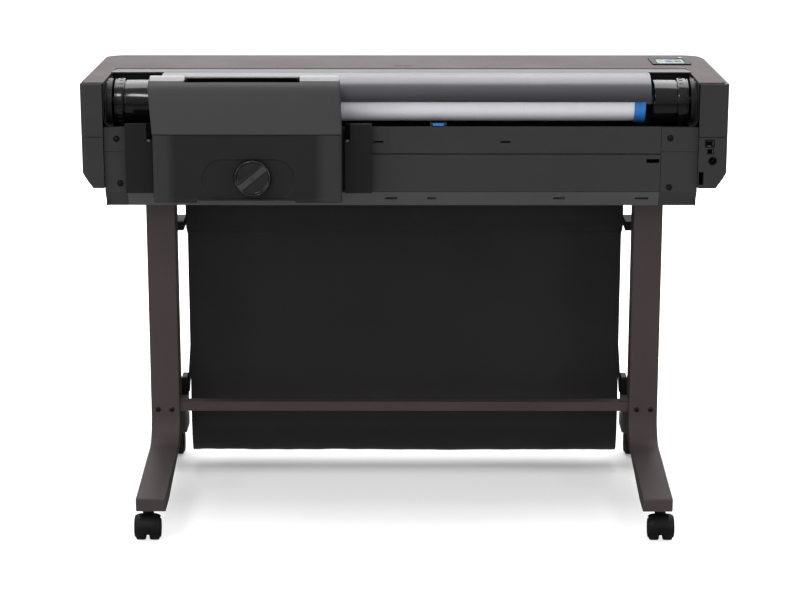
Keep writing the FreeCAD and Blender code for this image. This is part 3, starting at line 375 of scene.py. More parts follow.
def satin_cover(name):
    """Painted satin plastic with very fine metallic flake, and painted shade on faces that turn away
    from above.
    """
    g = Graph(name)
    base = lin("636367")
    flake = g.voronoi(2600)
    slow = g.noise(scale=5, detail=3, rough=0.5)
    streak = g.noise(scale=3, detail=3, rough=0.6, stretch=(1.2, 14, 14))
    colour = g.mix(g.remap(flake, to=(0.16, 0.0), span=(0.0, 0.5)), base, (0.30, 0.30, 0.31))
    colour = g.mix(g.remap(slow, to=(0, 0.4)), colour, tint(base, 0.86))
    # painted shade: faces that turn away from above are coloured darker
    up = g.split(g.normal())[2]
    colour = g.mix(g.remap(up, to=(1.0, 0.0), span=(0.18, 0.62)), colour, tint(base, 0.36))
    g.set("Base Color", colour)
    g.set("Metallic", 0.65)
    flake_rough = g.remap(flake, to=(0.04, 0), span=(0, 0.5))
    g.set("Roughness", g.plus(g.remap(streak, to=(0.27, 0.30)), flake_rough))
    g.set("Normal", g.bump(flake, strength=0.06, distance=0.0002))
    return g.mat


# (from, to) across the display, (from, to) up it, as shares of its size; colour
SCREEN_BLOCKS = [
    ((0.06, 0.94), (0.08, 0.92), (0.86, 0.89, 0.92)),
    ((0.34, 0.58), (0.30, 0.68), (0.05, 0.30, 0.62)),
    ((0.64, 0.88), (0.30, 0.68), (0.02, 0.30, 0.10)),
    ((0.12, 0.28), (0.30, 0.68), (0.60, 0.63, 0.66)),
    ((0.06, 0.94), (0.84, 0.92), (0.30, 0.33, 0.36)),
]


def screen_face(name):
    """A lit display with plain coloured blocks."""
    g = Graph(name)
    low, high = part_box("touch_screen")
    x, y, _ = g.split()
    across = g.remap(x, span=(low.x, high.x))
    up = g.remap(y, span=(low.y, high.y))

    def inside(value, limits):
        above = g.math("GREATER_THAN", value, limits[0])
        return g.times(above, g.math("LESS_THAN", value, limits[1]))

    colour = (0.004, 0.004, 0.005)
    for columns, rows, block in SCREEN_BLOCKS:
        colour = g.mix(g.times(inside(across, columns), inside(up, rows)), colour, block)
    smear = g.noise(scale=40, detail=5, rough=0.7)
    g.set("Base Color", g.mix(0.5, colour, (0, 0, 0)))
    g.set("Emission Color", colour)
    g.set("Emission Strength", 0.62)
    g.set("Roughness", g.remap(smear, to=(0.08, 0.25), span=(0.4, 0.7)))
    g.set("Coat Weight", 1.0)
    return g.mat


def smoked(name):
    """Smeared, smoky clear plastic."""
    g = Graph(name)
    smear = g.noise(scale=16, detail=6, rough=0.7)
    g.set("Base Color", (0.05, 0.055, 0.065))
    g.set("Transmission Weight", 0.75)
    g.set("IOR", 1.46)
    g.set("Roughness", g.remap(smear, to=(0.03, 0.14), span=(0.4, 0.75)))
    return g.mat


def belt(name):
    """Black rubber with teeth every 2 mm."""
    g = Graph(name)
    x, y, _ = g.split()
    teeth = g.math("SINE", g.times(g.plus(x, y), TAU / 0.002))
    # painted shade: the grooves between the teeth are coloured darker than the tooth tops
    g.set("Base Color", g.mix(g.remap(teeth, span=(-1, 1)), (0.008,) * 3, (0.03,) * 3))
    g.set("Roughness", 0.75)
    g.set("Normal", g.bump(teeth, strength=0.7, distance=0.0006))
    return g.mat


M = {
    "taupe": plastic("TaupeTop", "524a4b", rough=0.62, grain=1500, depth=0.22, mottle=0.03,
                     edge=0.10, edge_r=0.0012, spec=0.12),
    "cover": satin_cover("SatinCover"),
    "body": plastic("BodyDark", "343435", rough=0.40, grain=1300, depth=0.26, mottle=0.05,
                    edge=0.16, spec=0.14),
    "panel": plastic("PanelDark", "363636", rough=0.50, grain=1500, depth=0.24, mottle=0.05,
                     edge=0.22, spec=0.07),
    "pan": powder("PanCoat", "4c4c4d", rough=0.45, scale=1000, depth=0.25, edge=0.12, spec=0.12),
    "feeder": feeder_plastic("FeederDark"),
    "lid": plastic("LidDark", "3f3f40", rough=0.55, grain=1500, depth=0.24, mottle=0.04,
                   edge=0.22, spec=0.06),
    "black": plastic("BlackMoulded", "121213", rough=0.50, grain=1300, depth=0.3, mottle=0.1,
                     edge=0.16, spec=0.22),
    "gloss": gloss("GlossBlack", "0a0a0b"),
    "knob": plastic("KnobBlack", "1e1e1f", rough=0.24, grain=1800, depth=0.06, mottle=0.05,
                    edge=0.45, coat=0.35),
    "leg": powder("LegCoat", "453c3b", rough=0.50, scale=850, depth=0.55, edge=0.06),
    "foot": powder("FootCoat", "3f3736", rough=0.50, scale=850, depth=0.5, edge=0.06, spec=0.15),
    "rodblack": powder("RodBlack", "1a1a1b", rough=0.42, scale=1100, depth=0.25),
    "steel": metal("Steel", "a8a9ab"),
    "zinc": metal("ZincSheet", "85878a", rough=0.42, stretch=(300, 4, 4), depth=0.12),
    "screw": metal("ScrewBlack", "3c3c3e", rough=0.35, stretch=(60, 60, 60), depth=0.2),
    "blue": plastic("BluePlastic", "2f78c8", rough=0.32, grain=1600, depth=0.12, mottle=0.05,
                    edge=0.1),
    "roller": rubber("RollerRubber", "262628", rough=0.7, groove_pitch=0.0016),
    "tyre": rubber("WheelTread", "111112", rough=0.55),
    "belt": belt("BeltRubber"),
    "paper": paper("CoatedPaper"),
    "fabric": woven("WovenPolyester", "232324"),
    "thread": plastic("BlackThread", "2a2a2b", rough=0.7, grain=2500, depth=0.3, mottle=0.1,
                      edge=0.0),
    "card": plastic("CardCore", "8a6f52", rough=0.8, grain=900, depth=0.3, mottle=0.12, edge=0.0),
    "mount": plastic("MountDark", "212122", rough=0.50, grain=1500, depth=0.26, mottle=0.05,
                     edge=0.20, spec=0.07),
    "shade": plastic("ShadeBlack", "1a1a1b", rough=0.62, grain=1300, depth=0.25, mottle=0.08,
                     edge=0.10, spec=0.18),
    "lip": plastic("SatinLip", "9a9a9c", rough=0.30, grain=1500, depth=0.12, mottle=0.06,
                   edge=0.15),
    "hole": plastic("DeepBlack", "050505", rough=0.8, grain=900, depth=0.1, mottle=0.05,
                    edge=0.0, spec=0.05),
    "knob_bar": plastic("KnobBar", "3a3a3b", rough=0.30, grain=1800, depth=0.06, mottle=0.05,
                        edge=0.30, spec=0.4),
    "screen": screen_face("DisplayFace"),
    "smoke": smoked("SmokedWindow"),
}

# material: the CAD pieces that wear it; a piece not listed is black
LOOKS = {
    "taupe": "top_cover",
    "cover": "roll_cover",
    "body": "left_cap_upper left_cap_lower right_cap_upper right_cap_lower front_panel ink_door",
    "panel": "left_rear_bracket right_rear_bracket rear_upper_panel rear_lower_panel",
    "pan": "bottom_pan",
    "smoke": "front_cover",
    "mount": "feeder_mount",
    "feeder": "feeder_body",
    "lid": "feeder_lid",
    "knob": "feeder_knob",
    "screen": "touch_screen",
    "gloss": "power_button spindle_caps",
    "rodblack": "side_plates bin_top_rod bin_front_rod bin_arms",
    "steel": "spindle_shaft carriage_rail",
    "blue": "blue_hub paper_lever",
    "paper": "paper_roll",
    "screw": "panel_screws stand_bolts",
    "leg": "left_leg right_leg cross_brace",
    "foot": "front_feet",
    "fabric": "bin_fabric",
    "belt": "carriage_belt",
    "zinc": "motor_pulley idler_pulley",
    "roller": "feed_roller pinch_rollers",
}
LOOK_OF = {piece: look for look, pieces in LOOKS.items() for piece in pieces.split()}


def dress_cad_piece(name, obj):
    """Gives a CAD piece its material and smooth shading with crisp edges."""
    fallback = "tyre" if name.startswith("caster_wheels") else "black"
    obj.data.materials.clear()
    obj.data.materials.append(M[LOOK_OF.get(name, fallback)])
    weld = obj.modifiers.new("Weld", "WELD")
    weld.merge_threshold = 0.00001
    obj.data.polygons.foreach_set("use_smooth", [True] * len(obj.data.polygons))
    split = obj.modifiers.new("Split", "EDGE_SPLIT")
    split.split_angle = math.radians(28)
    split.use_edge_sharp = False
    even = obj.modifiers.new("Even", "WEIGHTED_NORMAL")
    even.mode = "FACE_AREA_WITH_ANGLE"
    even.weight = 50


for node_name, node_obj in NODES.items():
    dress_cad_piece(node_name, node_obj)


# ---------------------------------------------------------------- mesh helpers
# A finish is (material, body the piece rides on, colour slot).
# Parts that join() merges at once carry one-letter names.
def place(mesh, name, material, body, slot, angle):
    """Puts a mesh in the scene, with edges sharper than angle (degrees) left hard."""
    obj = bpy.data.objects.new(name, mesh)
    scene.collection.objects.link(obj)
    mesh.materials.append(material)
    mesh.set_sharp_from_angle(angle=math.radians(angle))
    if body:
        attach(obj, body)
    if slot:
        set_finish(obj, slot)
    return obj


def place_smooth(mesh, name, finish, angle):
    material, body, slot = finish
    mesh.polygons.foreach_set("use_smooth", [True] * len(mesh.polygons))
    return place(mesh, name, M[material], body, slot, angle)


def make(name, verts, faces, finish, angle=40):
    """A smooth piece from points and faces, with doubled points merged."""
    mesh = bpy.data.meshes.new(name)
    mesh.from_pydata([tuple(v) for v in verts], [], faces)
    mesh.validate()
    bm = bmesh.new()
    bm.from_mesh(mesh)
    bmesh.ops.remove_doubles(bm, verts=bm.verts, dist=1e-7)
    bmesh.ops.recalc_face_normals(bm, faces=bm.faces)
    bm.to_mesh(mesh)
    bm.free()
    return place_smooth(mesh, name, finish, angle)


def frame_of(axis):
    """The unit axis and two unit vectors square to it."""
    along = Vector(axis).normalized()
    helper = Vector((0, 0, 1)) if abs(along.z) < 0.9 else Vector((1, 0, 0))
    across = along.cross(helper).normalized()
    return along, across, along.cross(across).normalized()


def add_ring(verts, middle, across, up, count, radius):
    """Adds a ring of points, radius(angle) from the middle, and gives their numbers."""
    start = len(verts)
    for i in range(count):
        t = TAU * i / count
        verts.append(middle + (across * math.cos(t) + up * math.sin(t)) * radius(t))
    return list(range(start, len(verts)))


def bridge(a, b):
    """Faces between two rings; either may be a single point."""
    if len(a) == len(b) == 1:
        return []
    count = max(len(a), len(b))
    pairs = [(i, (i + 1) % count) for i in range(count)]
    if len(a) == 1:
        return [(a[0], b[j], b[i]) for i, j in pairs]
    if len(b) == 1:
        return [(a[i], a[j], b[0]) for i, j in pairs]
    return [(a[i], a[j], b[j], b[i]) for i, j in pairs]


def capped_tube(rings):
    """Faces along a row of rings, with a flat face over each end."""
    faces = [face for a, b in zip(rings, rings[1:]) for face in bridge(a, b)]
    return faces, tuple(reversed(rings[0])), tuple(rings[-1])


def lathe(name, profile, centre, axis, finish, segs, angle=40, wobble=None):
    """Turns a profile [(along, radius)] about an axis.

    Radius 0 closes onto the axis; a profile with no such end closes on itself.
    wobble(angle, along, radius) scales the radius."""
    along, across, up = frame_of(axis)
    centre = Vector(centre)
    verts, faces, rings = [], [], []
    for h, r in profile:
        middle = centre + along * h
        if r < 1e-9:
            rings.append([len(verts)])
            verts.append(middle)
        else:
            rings.append(add_ring(verts, middle, across, up, segs,
                                  lambda t: r * (wobble(t, h, r) if wobble else 1)))
    pairs = list(zip(rings, rings[1:]))
    if profile[0][1] > 1e-9 and profile[-1][1] > 1e-9:
        pairs.append((rings[-1], rings[0]))
    for a, b in pairs:
        faces += bridge(a, b)
    return make(name, verts, faces, finish, angle)


def shell(name, surface, nu, nv, thick, finish, angle=50):
    """A closed sheet in nu by nv steps.

    surface(u, v) is its middle; thick is a number or thick(u, v)."""
    points = [[Vector(surface(i / nu, j / nv)) for j in range(nv + 1)] for i in range(nu + 1)]

    def normal(i, j):
        du = points[min(i + 1, nu)][j] - points[max(i - 1, 0)][j]
        dv = points[i][min(j + 1, nv)] - points[i][max(j - 1, 0)]
        return du.cross(dv).normalized()

    verts, top, bot = [], [], []
    for side, store in ((0.5, top), (-0.5, bot)):
        for i in range(nu + 1):
            row = []
            for j in range(nv + 1):
                t = thick(i / nu, j / nv) if callable(thick) else thick
                row.append(len(verts))
                verts.append(points[i][j] + normal(i, j) * t * side)
            store.append(row)
    faces = []
    for i in range(nu):
        for j in range(nv):
            faces.append((top[i][j], top[i + 1][j], top[i + 1][j + 1], top[i][j + 1]))
            faces.append((bot[i][j], bot[i][j + 1], bot[i + 1][j + 1], bot[i + 1][j]))
    for i in range(nu):
        faces.append((top[i][0], bot[i][0], bot[i + 1][0], top[i + 1][0]))
        faces.append((top[i][nv], top[i + 1][nv], bot[i + 1][nv], bot[i][nv]))
    for j in range(nv):
        faces.append((top[0][j], top[0][j + 1], bot[0][j + 1], bot[0][j]))
        faces.append((top[nu][j], bot[nu][j], bot[nu][j + 1], top[nu][j + 1]))
    return make(name, verts, faces, finish, angle)


def soft_box(name, low, high, radius, finish, segs=3, turn=None):
    """A box with all its edges rounded, turned about its middle."""
    low, high = Vector(low), Vector(high)
    bm = bmesh.new()
    bmesh.ops.create_cube(bm, size=1.0)
    bmesh.ops.scale(bm, vec=high - low, verts=bm.verts)
    bmesh.ops.bevel(bm, geom=bm.edges, offset=radius, segments=segs, profile=0.5, affect="EDGES")
    if turn:
        bmesh.ops.rotate(bm, cent=(0, 0, 0), matrix=turn, verts=bm.verts)
    bmesh.ops.translate(bm, vec=(high + low) / 2, verts=bm.verts)
    mesh = bpy.data.meshes.new(name)
    bm.to_mesh(mesh)
    bm.free()
    return place_smooth(mesh, name, finish, angle=35)


def join(objs, name):
    """One piece out of several that share a finish."""
    bm = bmesh.new()
    for obj in objs:
        copy = obj.data.copy()
        copy.transform(obj.matrix_world)
        bm.from_mesh(copy)
        bpy.data.meshes.remove(copy)
    mesh = bpy.data.meshes.new(name)
    bm.to_mesh(mesh)
    bm.free()
    first = objs[0]
    material, body, slot = first.data.materials[0], first.get("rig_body"), first.get("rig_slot")
    for obj in objs:
        bpy.data.objects.remove(obj)
    return place(mesh, name, material, body, slot, angle=40)


def paint(obj, material, test):
    """Gives a second material to the faces whose centre passes the test."""
    obj.data.materials.append(M[material])
    for poly in obj.data.polygons:
        if test(poly.center):
            poly.material_index = 1


# ---------------------------------------------------------------- curve helpers
def spline(points, steps):
    """Uniform Catmull-Rom curve through 2D points, with some steps to each span."""
    P = [Vector(p) for p in points]
    P = [P[0] * 2 - P[1]] + P + [P[-1] * 2 - P[-2]]
    out = []
    for k in range(1, len(P) - 2):
        a, b, c, d = P[k - 1:k + 3]
        for i in range(steps):
            t = i / steps
            out.append(0.5 * ((2 * b) + (c - a) * t + (2 * a - 5 * b + 4 * c - d) * t * t
                              + (3 * b - a - 3 * c + d) * t ** 3))
    out.append(P[-2])
    return out


def sample(points, count):
    """A spline through the points, cut into count equal lengths."""
    dense = spline(points, 40)
    run = [0.0]
    for a, b in zip(dense, dense[1:]):
        run.append(run[-1] + (b - a).length)
    out, k = [], 0
    for i in range(count + 1):
        s = run[-1] * i / count
        while k < len(run) - 2 and run[k + 1] < s:
            k += 1
        gap = run[k + 1] - run[k]
        t = (s - run[k]) / gap if gap > 1e-12 else 0
        out.append(dense[k].lerp(dense[k + 1], t))
    return out


def along(path, v):
    """The point a share v along a path, and the index of the span it lies on."""
    k = v * (len(path) - 1)
    i = min(int(k), len(path) - 2)
    return path[i].lerp(path[i + 1], k - i), i


def clamp(x):
    return min(1.0, max(0.0, x))


def ease(a, b, x):
    """Smooth step from 0 at a to 1 at b."""
    t = clamp((x - a) / (b - a))
    return t * t * (3 - 2 * t)


def hump(x, middle, width):
    return math.exp(-((x - middle) / width) ** 2)


def round_off(edge, radius):
    """How far a rounded edge falls back at a distance from it."""
    return radius - math.sqrt(max(0.0, radius ** 2 - (radius - edge) ** 2)) if edge < radius else 0.0


def spread(stops, most):
    """Grid positions that hit every stop, with no gap wider than most."""
    out = [stops[0]]
    for a, b in zip(stops, stops[1:]):
        n = max(1, math.ceil((b - a) / most - 1e-9))
        out += [a + (b - a) * (i + 1) / n for i in range(n)]
    return out


def wander(x, y, z, scale, seed=0.0):
    """Smooth noise at a point."""
    return noise.noise(Vector((x * scale + seed, y * scale - seed, z * scale + 2 * seed)))


# ---------------------------------------------------------------- media bin
REAR_Y = 0.1490  # where the rear cloth hangs
CLOTH_HALF = 0.4750
POCKET_HALF = 0.4740
CLOTH_SPAN = 0.95  # width that turns u into a distance from the side hem
CLOTH = ("fabric", "machine", "fabric")
SEAM_HALF, STITCH_PITCH, STITCH_LENGTH, THREAD_R = 0.470, 0.0042, 0.0028, 0.00032

# (y, z) down the rear cloth to the bottom of the bin
REAR_PATH = [
    (REAR_Y, 0.652), (REAR_Y, 0.60), (REAR_Y, 0.45), (REAR_Y + 0.001, 0.25),
    (REAR_Y + 0.001, 0.12), (0.153, 0.082), (0.165, 0.054), (0.185, 0.042), (0.205, 0.0395),
]
# (y, z) from the bottom up the front cloth and over the front rod
FRONT_PATH = [
    (0.205, 0.0395), (0.228, 0.040), (0.250, 0.050), (0.264, 0.072), (0.2695, 0.10),
    (0.2740, 0.20), (0.2785, 0.300), (0.2802, 0.330), (0.2812, 0.343), (0.2772, 0.3500),
    (0.2720, 0.3522), (0.2665, 0.3500), (0.2630, 0.343), (0.2655, 0.332), (0.2705, 0.322),
    (0.2740, 0.312), (0.2745, 0.300),
]
# (y, z) round the pocket on the rear cloth
POCKET_PATH = [
    (0.1502, 0.5535), (0.1508, 0.562), (0.1520, 0.5695), (0.1560, 0.5708), (0.1615, 0.5714),
    (0.1658, 0.5750), (0.1664, 0.5800), (0.1640, 0.5858), (0.1590, 0.5877), (0.1545, 0.5870),
    (0.1520, 0.5880), (0.1510, 0.594), (0.1502, 0.603),
]


def cloth(path, half_at, ripple):
    """Surface of a cloth that follows path, half_at(z) wide to each side of X = 0."""
    def surface(u, v):
        p, i = along(path, v)
        y, z = p
        half = half_at(z)
        x = (2 * u - 1) * half
        side = 1 if x > 0 else -1
        offset = ripple(x, y, z, v)
        tangent = (path[min(i + 3, len(path) - 1)] - path[max(i - 2, 0)]).normalized()
        # the side hems curl, and their edges wander a little
        hem_share = max(0.0, (abs(x) - half + 0.030) / 0.030)
        offset += 0.0012 * hem_share ** 2 * math.sin(z * 23 + (1 if x > 0 else 2))
        x += 0.0006 * wander(0, z, 3, 9) * side
        return (x, y - tangent.y * offset, z + tangent.x * offset)
    return surface


def cloth_thickness(u, v):
    """Double at the side hems, with a thinner line where the hem ends."""
    side = min(u, 1 - u) * CLOTH_SPAN
    t = 0.0011
    if side < 0.013:
        t += 0.0010
    if abs(side - 0.0115) < 0.0012:
        t -= 0.0006
    return t


def rear_half(z):
    """The rear cloth is a little wider above the seam."""
    return CLOTH_HALF + 0.0030 * ease(0.548, 0.566, z)


def rear_ripple(x, y, z, v):
    slack = clamp((0.62 - z) / 0.5)
    offset = 0.0014 * slack * wander(x, 0, z * 0.35, 5.5, 1.3)
    offset += 0.0009 * slack * wander(x * 1.8, 0, z * 0.5, 11, 4.2)
    offset += 0.0004 * wander(x, 0, z, 40, 2.0)
    # the seam pulls in, the pocket pushes out, and puckers run between them
    offset -= 0.0009 * hump(z, 0.553, 0.0016)
    offset += 0.0010 * hump(z, 0.579, 0.011)
    offset += 0.0005 * hump(z, 0.560, 0.004) * wander(x, 0, 0, 160, 7.0)
    return offset


def front_ripple(x, y, z, v):
    """Slow waves that fade at the bottom and round the front rod."""
    waves = 0.0016 * wander(x, 1, z * 0.4, 5.0, 8.1)
    waves += 0.0009 * wander(x * 1.6, 1, z * 0.6, 12, 3.3)
    return waves * min(1.0, v / 0.08) * (1.0 - 0.85 * clamp((v - 0.80) / 0.04))


def pocket_ripple(x, y, z, v):
    return 0.0003 * wander(x, y, z, 60)


def stitches(name, z):
    """A row of short thread stitches along X on the rear cloth."""
    y = REAR_Y - 0.0007
    verts, faces = [], []
    for i in range(int(2 * SEAM_HALF / STITCH_PITCH)):
        start = -SEAM_HALF + i * STITCH_PITCH
        rings = []
        for s in range(5):
            t = s / 4
            x = start + STITCH_LENGTH * t
            lift = math.sin(math.pi * t) * THREAD_R * 1.6
            ring = []
            for k in range(6):
                a = TAU * k / 6
                ring.append(len(verts))
                verts.append((x, y - lift + THREAD_R * math.cos(a), z + THREAD_R * math.sin(a)))
            rings.append(ring)
        sides, first_end, last_end = capped_tube(rings)
        faces += sides + [first_end, last_end]
    make(name, verts, faces, ("thread", "machine", "fabric"))


rear_surface = cloth(sample(REAR_PATH, 220), rear_half, rear_ripple)
rear_sheet = shell("bin_cloth_rear", rear_surface, 220, 220, cloth_thickness, CLOTH)
front_surface = cloth(sample(FRONT_PATH, 200), lambda z: CLOTH_HALF, front_ripple)
front_sheet = shell("bin_cloth_front", front_surface, 200, 200, cloth_thickness,
                    ("fabric", None, "fabric"))
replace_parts(rear_sheet, "bin_fabric")
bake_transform(front_sheet)
pocket_surface = cloth(sample(POCKET_PATH, 70), lambda z: POCKET_HALF, pocket_ripple)
shell("bin_rod_pocket", pocket_surface, 120, 70, 0.0011, CLOTH)
stitches("bin_seam_upper", 0.5538)
stitches("bin_seam_lower", 0.5512)

# ---------------------------------------------------------------- casters
CASTER_X, CASTER_Y, AXLE_Z = 0.531, 0.282, 0.025
HOOD_HALF, HOOD_R = 0.0262, 0.0283
CHEEK_X = 0.0259  # from the caster's middle to the side discs
WHEEL_GAP = 0.0038  # from the caster's middle to a wheel's inner face
NECK_Y = 0.014  # from the axle to the swivel

# turned outlines as (along, radius)
CHEEK_PROFILE = [
    (-0.0007, 0), (-0.0007, 0.0195), (0.0002, 0.0203), (0.0009, 0.0195), (0.0011, 0.006),
    (0.0018, 0.0052), (0.0018, 0),
]
NECK_PROFILE = [
    (0, 0), (0, 0.0118), (0.006, 0.0112), (0.0135, 0.0100), (0.0150, 0.0092),
    (0.0166, 0.0092), (0.0166, 0.0055), (0.031, 0.0055), (0.031, 0),
]
WHEEL_PROFILE = [
    (0, 0), (0, 0.0190), (0.0006, 0.0205), (0.0006, 0.0228), (0.0022, 0.0246), (0.0050, 0.0250),
    (0.0150, 0.0250), (0.0186, 0.0243), (0.0202, 0.0222), (0.0204, 0.0196), (0.0186, 0.0184),
    (0.0186, 0.0080), (0.0196, 0.0072), (0.0196, 0),
]
AXLE_PROFILE = [(-0.0248, 0), (-0.0248, 0.0036), (0.0248, 0.0036), (0.0248, 0)]


def caster_hood(where, cx, ay, out):
    """Moulded hood over a pair of wheels. out is the side of the swivel (-1 rear, 1 front)
    that the axle is on."""
    name = "caster_" + where
    finish = ("black", "swivel_" + where, "black_matte")

    def surface(u, v):
        # v runs round the axle from the inner top to the low outer edge, u across the width
        angle = math.radians(62 + 133 * v)
        s = 2 * u - 1
        shoulder = abs(s) ** 5
        x = cx + HOOD_HALF * s * (1 - 0.015 * shoulder)
        r = HOOD_R - 0.0048 * shoulder - 0.0012 * max(0, v - 0.72) / 0.28
        return (x, ay + out * -math.cos(angle) * r, AXLE_Z + 0.0010 + math.sin(angle) * r)

    hood = shell(name + "_hood", surface, 44, 48, 0.0021, finish, angle=60)
    discs = [lathe("c", CHEEK_PROFILE, (cx + side * CHEEK_X, ay, AXLE_Z + 0.0008),
                   (side, 0, 0), finish, segs=48) for side in (-1, 1)]
    join(discs, name + "_cheeks")
    cy = ay - out * NECK_Y
    lathe(name + "_neck", NECK_PROFILE, (cx, cy, 0.0510), (0, 0, 1), finish, segs=48)
    soft_box(name + "_web", (cx - 0.0026, min(cy, ay) - 0.012, 0.016),
             (cx + 0.0026, max(cy, ay) + 0.010, 0.053), 0.0008, finish)
    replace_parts(hood, "caster_hood_" + where)


def caster_wheels(where, cx, ay):
    finish = ("tyre", "wheels_" + where, "tyre_black")
    parts = [lathe("w", WHEEL_PROFILE, (cx + side * WHEEL_GAP, ay, AXLE_Z), (side, 0, 0),
                   finish, segs=64) for side in (-1, 1)]
    parts.append(lathe("w", AXLE_PROFILE, (cx, ay, AXLE_Z), (1, 0, 0), finish, segs=24))
    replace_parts(join(parts, "wheel_" + where + "_pair"), "caster_wheels_" + where)


for y_name, y_side in (("rear", -1), ("front", 1)):
    for x_name, x_side in (("left", -1), ("right", 1)):
        corner = y_name + "_" + x_name
        caster_hood(corner, CASTER_X * x_side, CASTER_Y * y_side, y_side)
        caster_wheels(corner, CASTER_X * x_side, CASTER_Y * y_side)

# ---------------------------------------------------------------- spindle and paper roll
AXIS_Y, AXIS_Z = -0.102, 0.887
SPINDLE = (0, AXIS_Y, AXIS_Z)
GLOSS_CAP = ("gloss", "spindle", "black_gloss")
GRIP_R, GRIP_BARS = 0.0481, 24
GRIP_HALF = Vector((0.0042, 0.0007, 0.0007))
# side name, X direction, then drum start, drum end and flange end measured outward from X = 0
CAPS = (("left", -1, 0.500, 0.570, 0.592), ("right", 1, 0.507, 0.556, 0.580))

# turned outlines as (X, radius)
BLUE_STOP = [
    (0.4704, 0.0102), (0.4704, 0.0400), (0.4712, 0.0414), (0.4730, 0.0420), (0.4780, 0.0420),
    (0.4784, 0.0416), (0.4791, 0.0416), (0.4795, 0.0420), (0.4900, 0.0420), (0.4916, 0.0414),
    (0.4924, 0.0400), (0.4924, 0.0280), (0.4905, 0.0270), (0.4905, 0.0102),
]
WINDINGS = [
    (-0.4795, 0.0262), (-0.4802, 0.0280), (-0.4798, 0.0300), (-0.4803, 0.0322),
    (-0.4799, 0.0345), (-0.4803, 0.0365), (-0.4798, 0.0385), (-0.4790, 0.0390),
    (-0.3, 0.03904), (0.0, 0.0391), (0.3, 0.03904), (0.4690, 0.0390), (0.4698, 0.0386),
    (0.4701, 0.0366), (0.4697, 0.0335), (0.4701, 0.0305), (0.4696, 0.0262),
]
CORE = [
    (-0.4815, 0.0203), (-0.4815, 0.0258), (-0.4810, 0.0261), (0.4708, 0.0261),
    (0.4712, 0.0258), (0.4712, 0.0203),
]


def cap_profile(d0, d1, f1):
    """Drum from d0 to d1 and flange from there to f1, as (outward, radius)."""
    return [
        (d0, 0.0102), (d0, 0.0405), (d0 + 0.0008, 0.0425), (d0 + 0.0030, 0.0444),
        (d0 + 0.0055, 0.0450), (d0 + 0.010, 0.0450),
        (d1 - 0.0022, 0.0450), (d1 - 0.0012, 0.0446), (d1 - 0.0008, 0.0436),
        (d1 + 0.0004, 0.0436), (d1 + 0.0008, 0.0446), (d1 + 0.0016, 0.0470),
        (d1 + 0.0030, 0.0479), (d1 + 0.006, 0.0480),
        (f1 - 0.0075, 0.0480), (f1 - 0.0060, 0.0477), (f1 - 0.0056, 0.0455),
        (f1 - 0.0038, 0.0455), (f1 - 0.0034, 0.0474), (f1 - 0.0016, 0.0474),
        (f1 - 0.0004, 0.0466), (f1, 0.0450), (f1, 0.0102),
    ]


def grip_bars(side_name, side, drum_end):
    """Fine bars along X round the flange."""
    bars = []
    for i in range(GRIP_BARS):
        t = TAU * i / GRIP_BARS
        middle = Vector((side * (drum_end + 0.0085), AXIS_Y + GRIP_R * math.cos(t),
                         AXIS_Z + GRIP_R * math.sin(t)))
        bars.append(soft_box("b", middle - GRIP_HALF, middle + GRIP_HALF, 0.0004, GLOSS_CAP,
                             segs=2, turn=Matrix.Rotation(t, 3, "X")))
    join(bars, "spindle_grip_" + side_name)


def loose_end(t, h, r):
    """The outer layer of paper lifts over the last part of the turn."""
    return 1 + (0.004 * max(0.0, (t - 5.0) / 1.28) if r > 0.0385 and t > 5.0 else 0.0)


caps = [lathe("spindle_cap_" + side_name, cap_profile(*stations), SPINDLE, (side, 0, 0),
              GLOSS_CAP, segs=144, angle=35) for side_name, side, *stations in CAPS]
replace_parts(caps[0], "spindle_caps")
for side_name, side, _, drum_end, _ in CAPS:
    grip_bars(side_name, side, drum_end)
blue_stop = lathe("blue_stop", BLUE_STOP, SPINDLE, (1, 0, 0), ("blue", "spindle", "blue"), segs=120)
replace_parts(blue_stop, "blue_hub")
windings = lathe("paper_windings", WINDINGS, SPINDLE, (1, 0, 0), ("paper", "spindle", "paper"),
                 segs=160, wobble=loose_end)
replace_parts(windings, "paper_roll")
lathe("paper_core", CORE, SPINDLE, (1, 0, 0), ("card", "spindle", "paper"), segs=80)

# ---------------------------------------------------------------- cheeks beside the roll
CHEEK_REAR_Y, CHEEK_DEPTH = -0.1655, 0.105
# (inward from the wall, z): down the wall, round the corner, onto the ledge
CHEEK_PATH = [
    (0, 0.9335), (0, 0.918), (0, 0.890), (0, 0.866), (0.0016, 0.8575), (0.0060, 0.8505),
    (0.0125, 0.8475), (0.0180, 0.8466),
]


def cheek(name, wall_x, side):
    """A wall that turns inward into a ledge. side is the end of the machine, as an X sign."""
    path = sample([(wall_x - side * inward, z) for inward, z in CHEEK_PATH], 60)

    def surface(u, v):
        p, _ = along(path, v)
        return (p.x, CHEEK_REAR_Y + CHEEK_DEPTH * u, p.y)
    shell(name, surface, 10, 60, 0.0022, ("shade", "machine", "dark_body"))


cheek("cheek_right", 0.5972, 1)
cheek("cheek_left", -0.6112, -1)

# ---------------------------------------------------------------- feeder knob
KNOB_X, KNOB_Y, KNOB_Z, KNOB_R = -0.306, -0.241, 0.755, 0.0365
KNOB_TILT = math.radians(39)  # of the bar, up from X
KNOB_SEGS, KNOB_RINGS = 144, 40
KNOB_RIM = 0.0022  # flat rim outside the scoops
# (depth behind the face, radius) of the rings down the side
KNOB_SIDE = ((0.0004, KNOB_R), (0.0095, KNOB_R), (0.0110, KNOB_R - 0.0015))

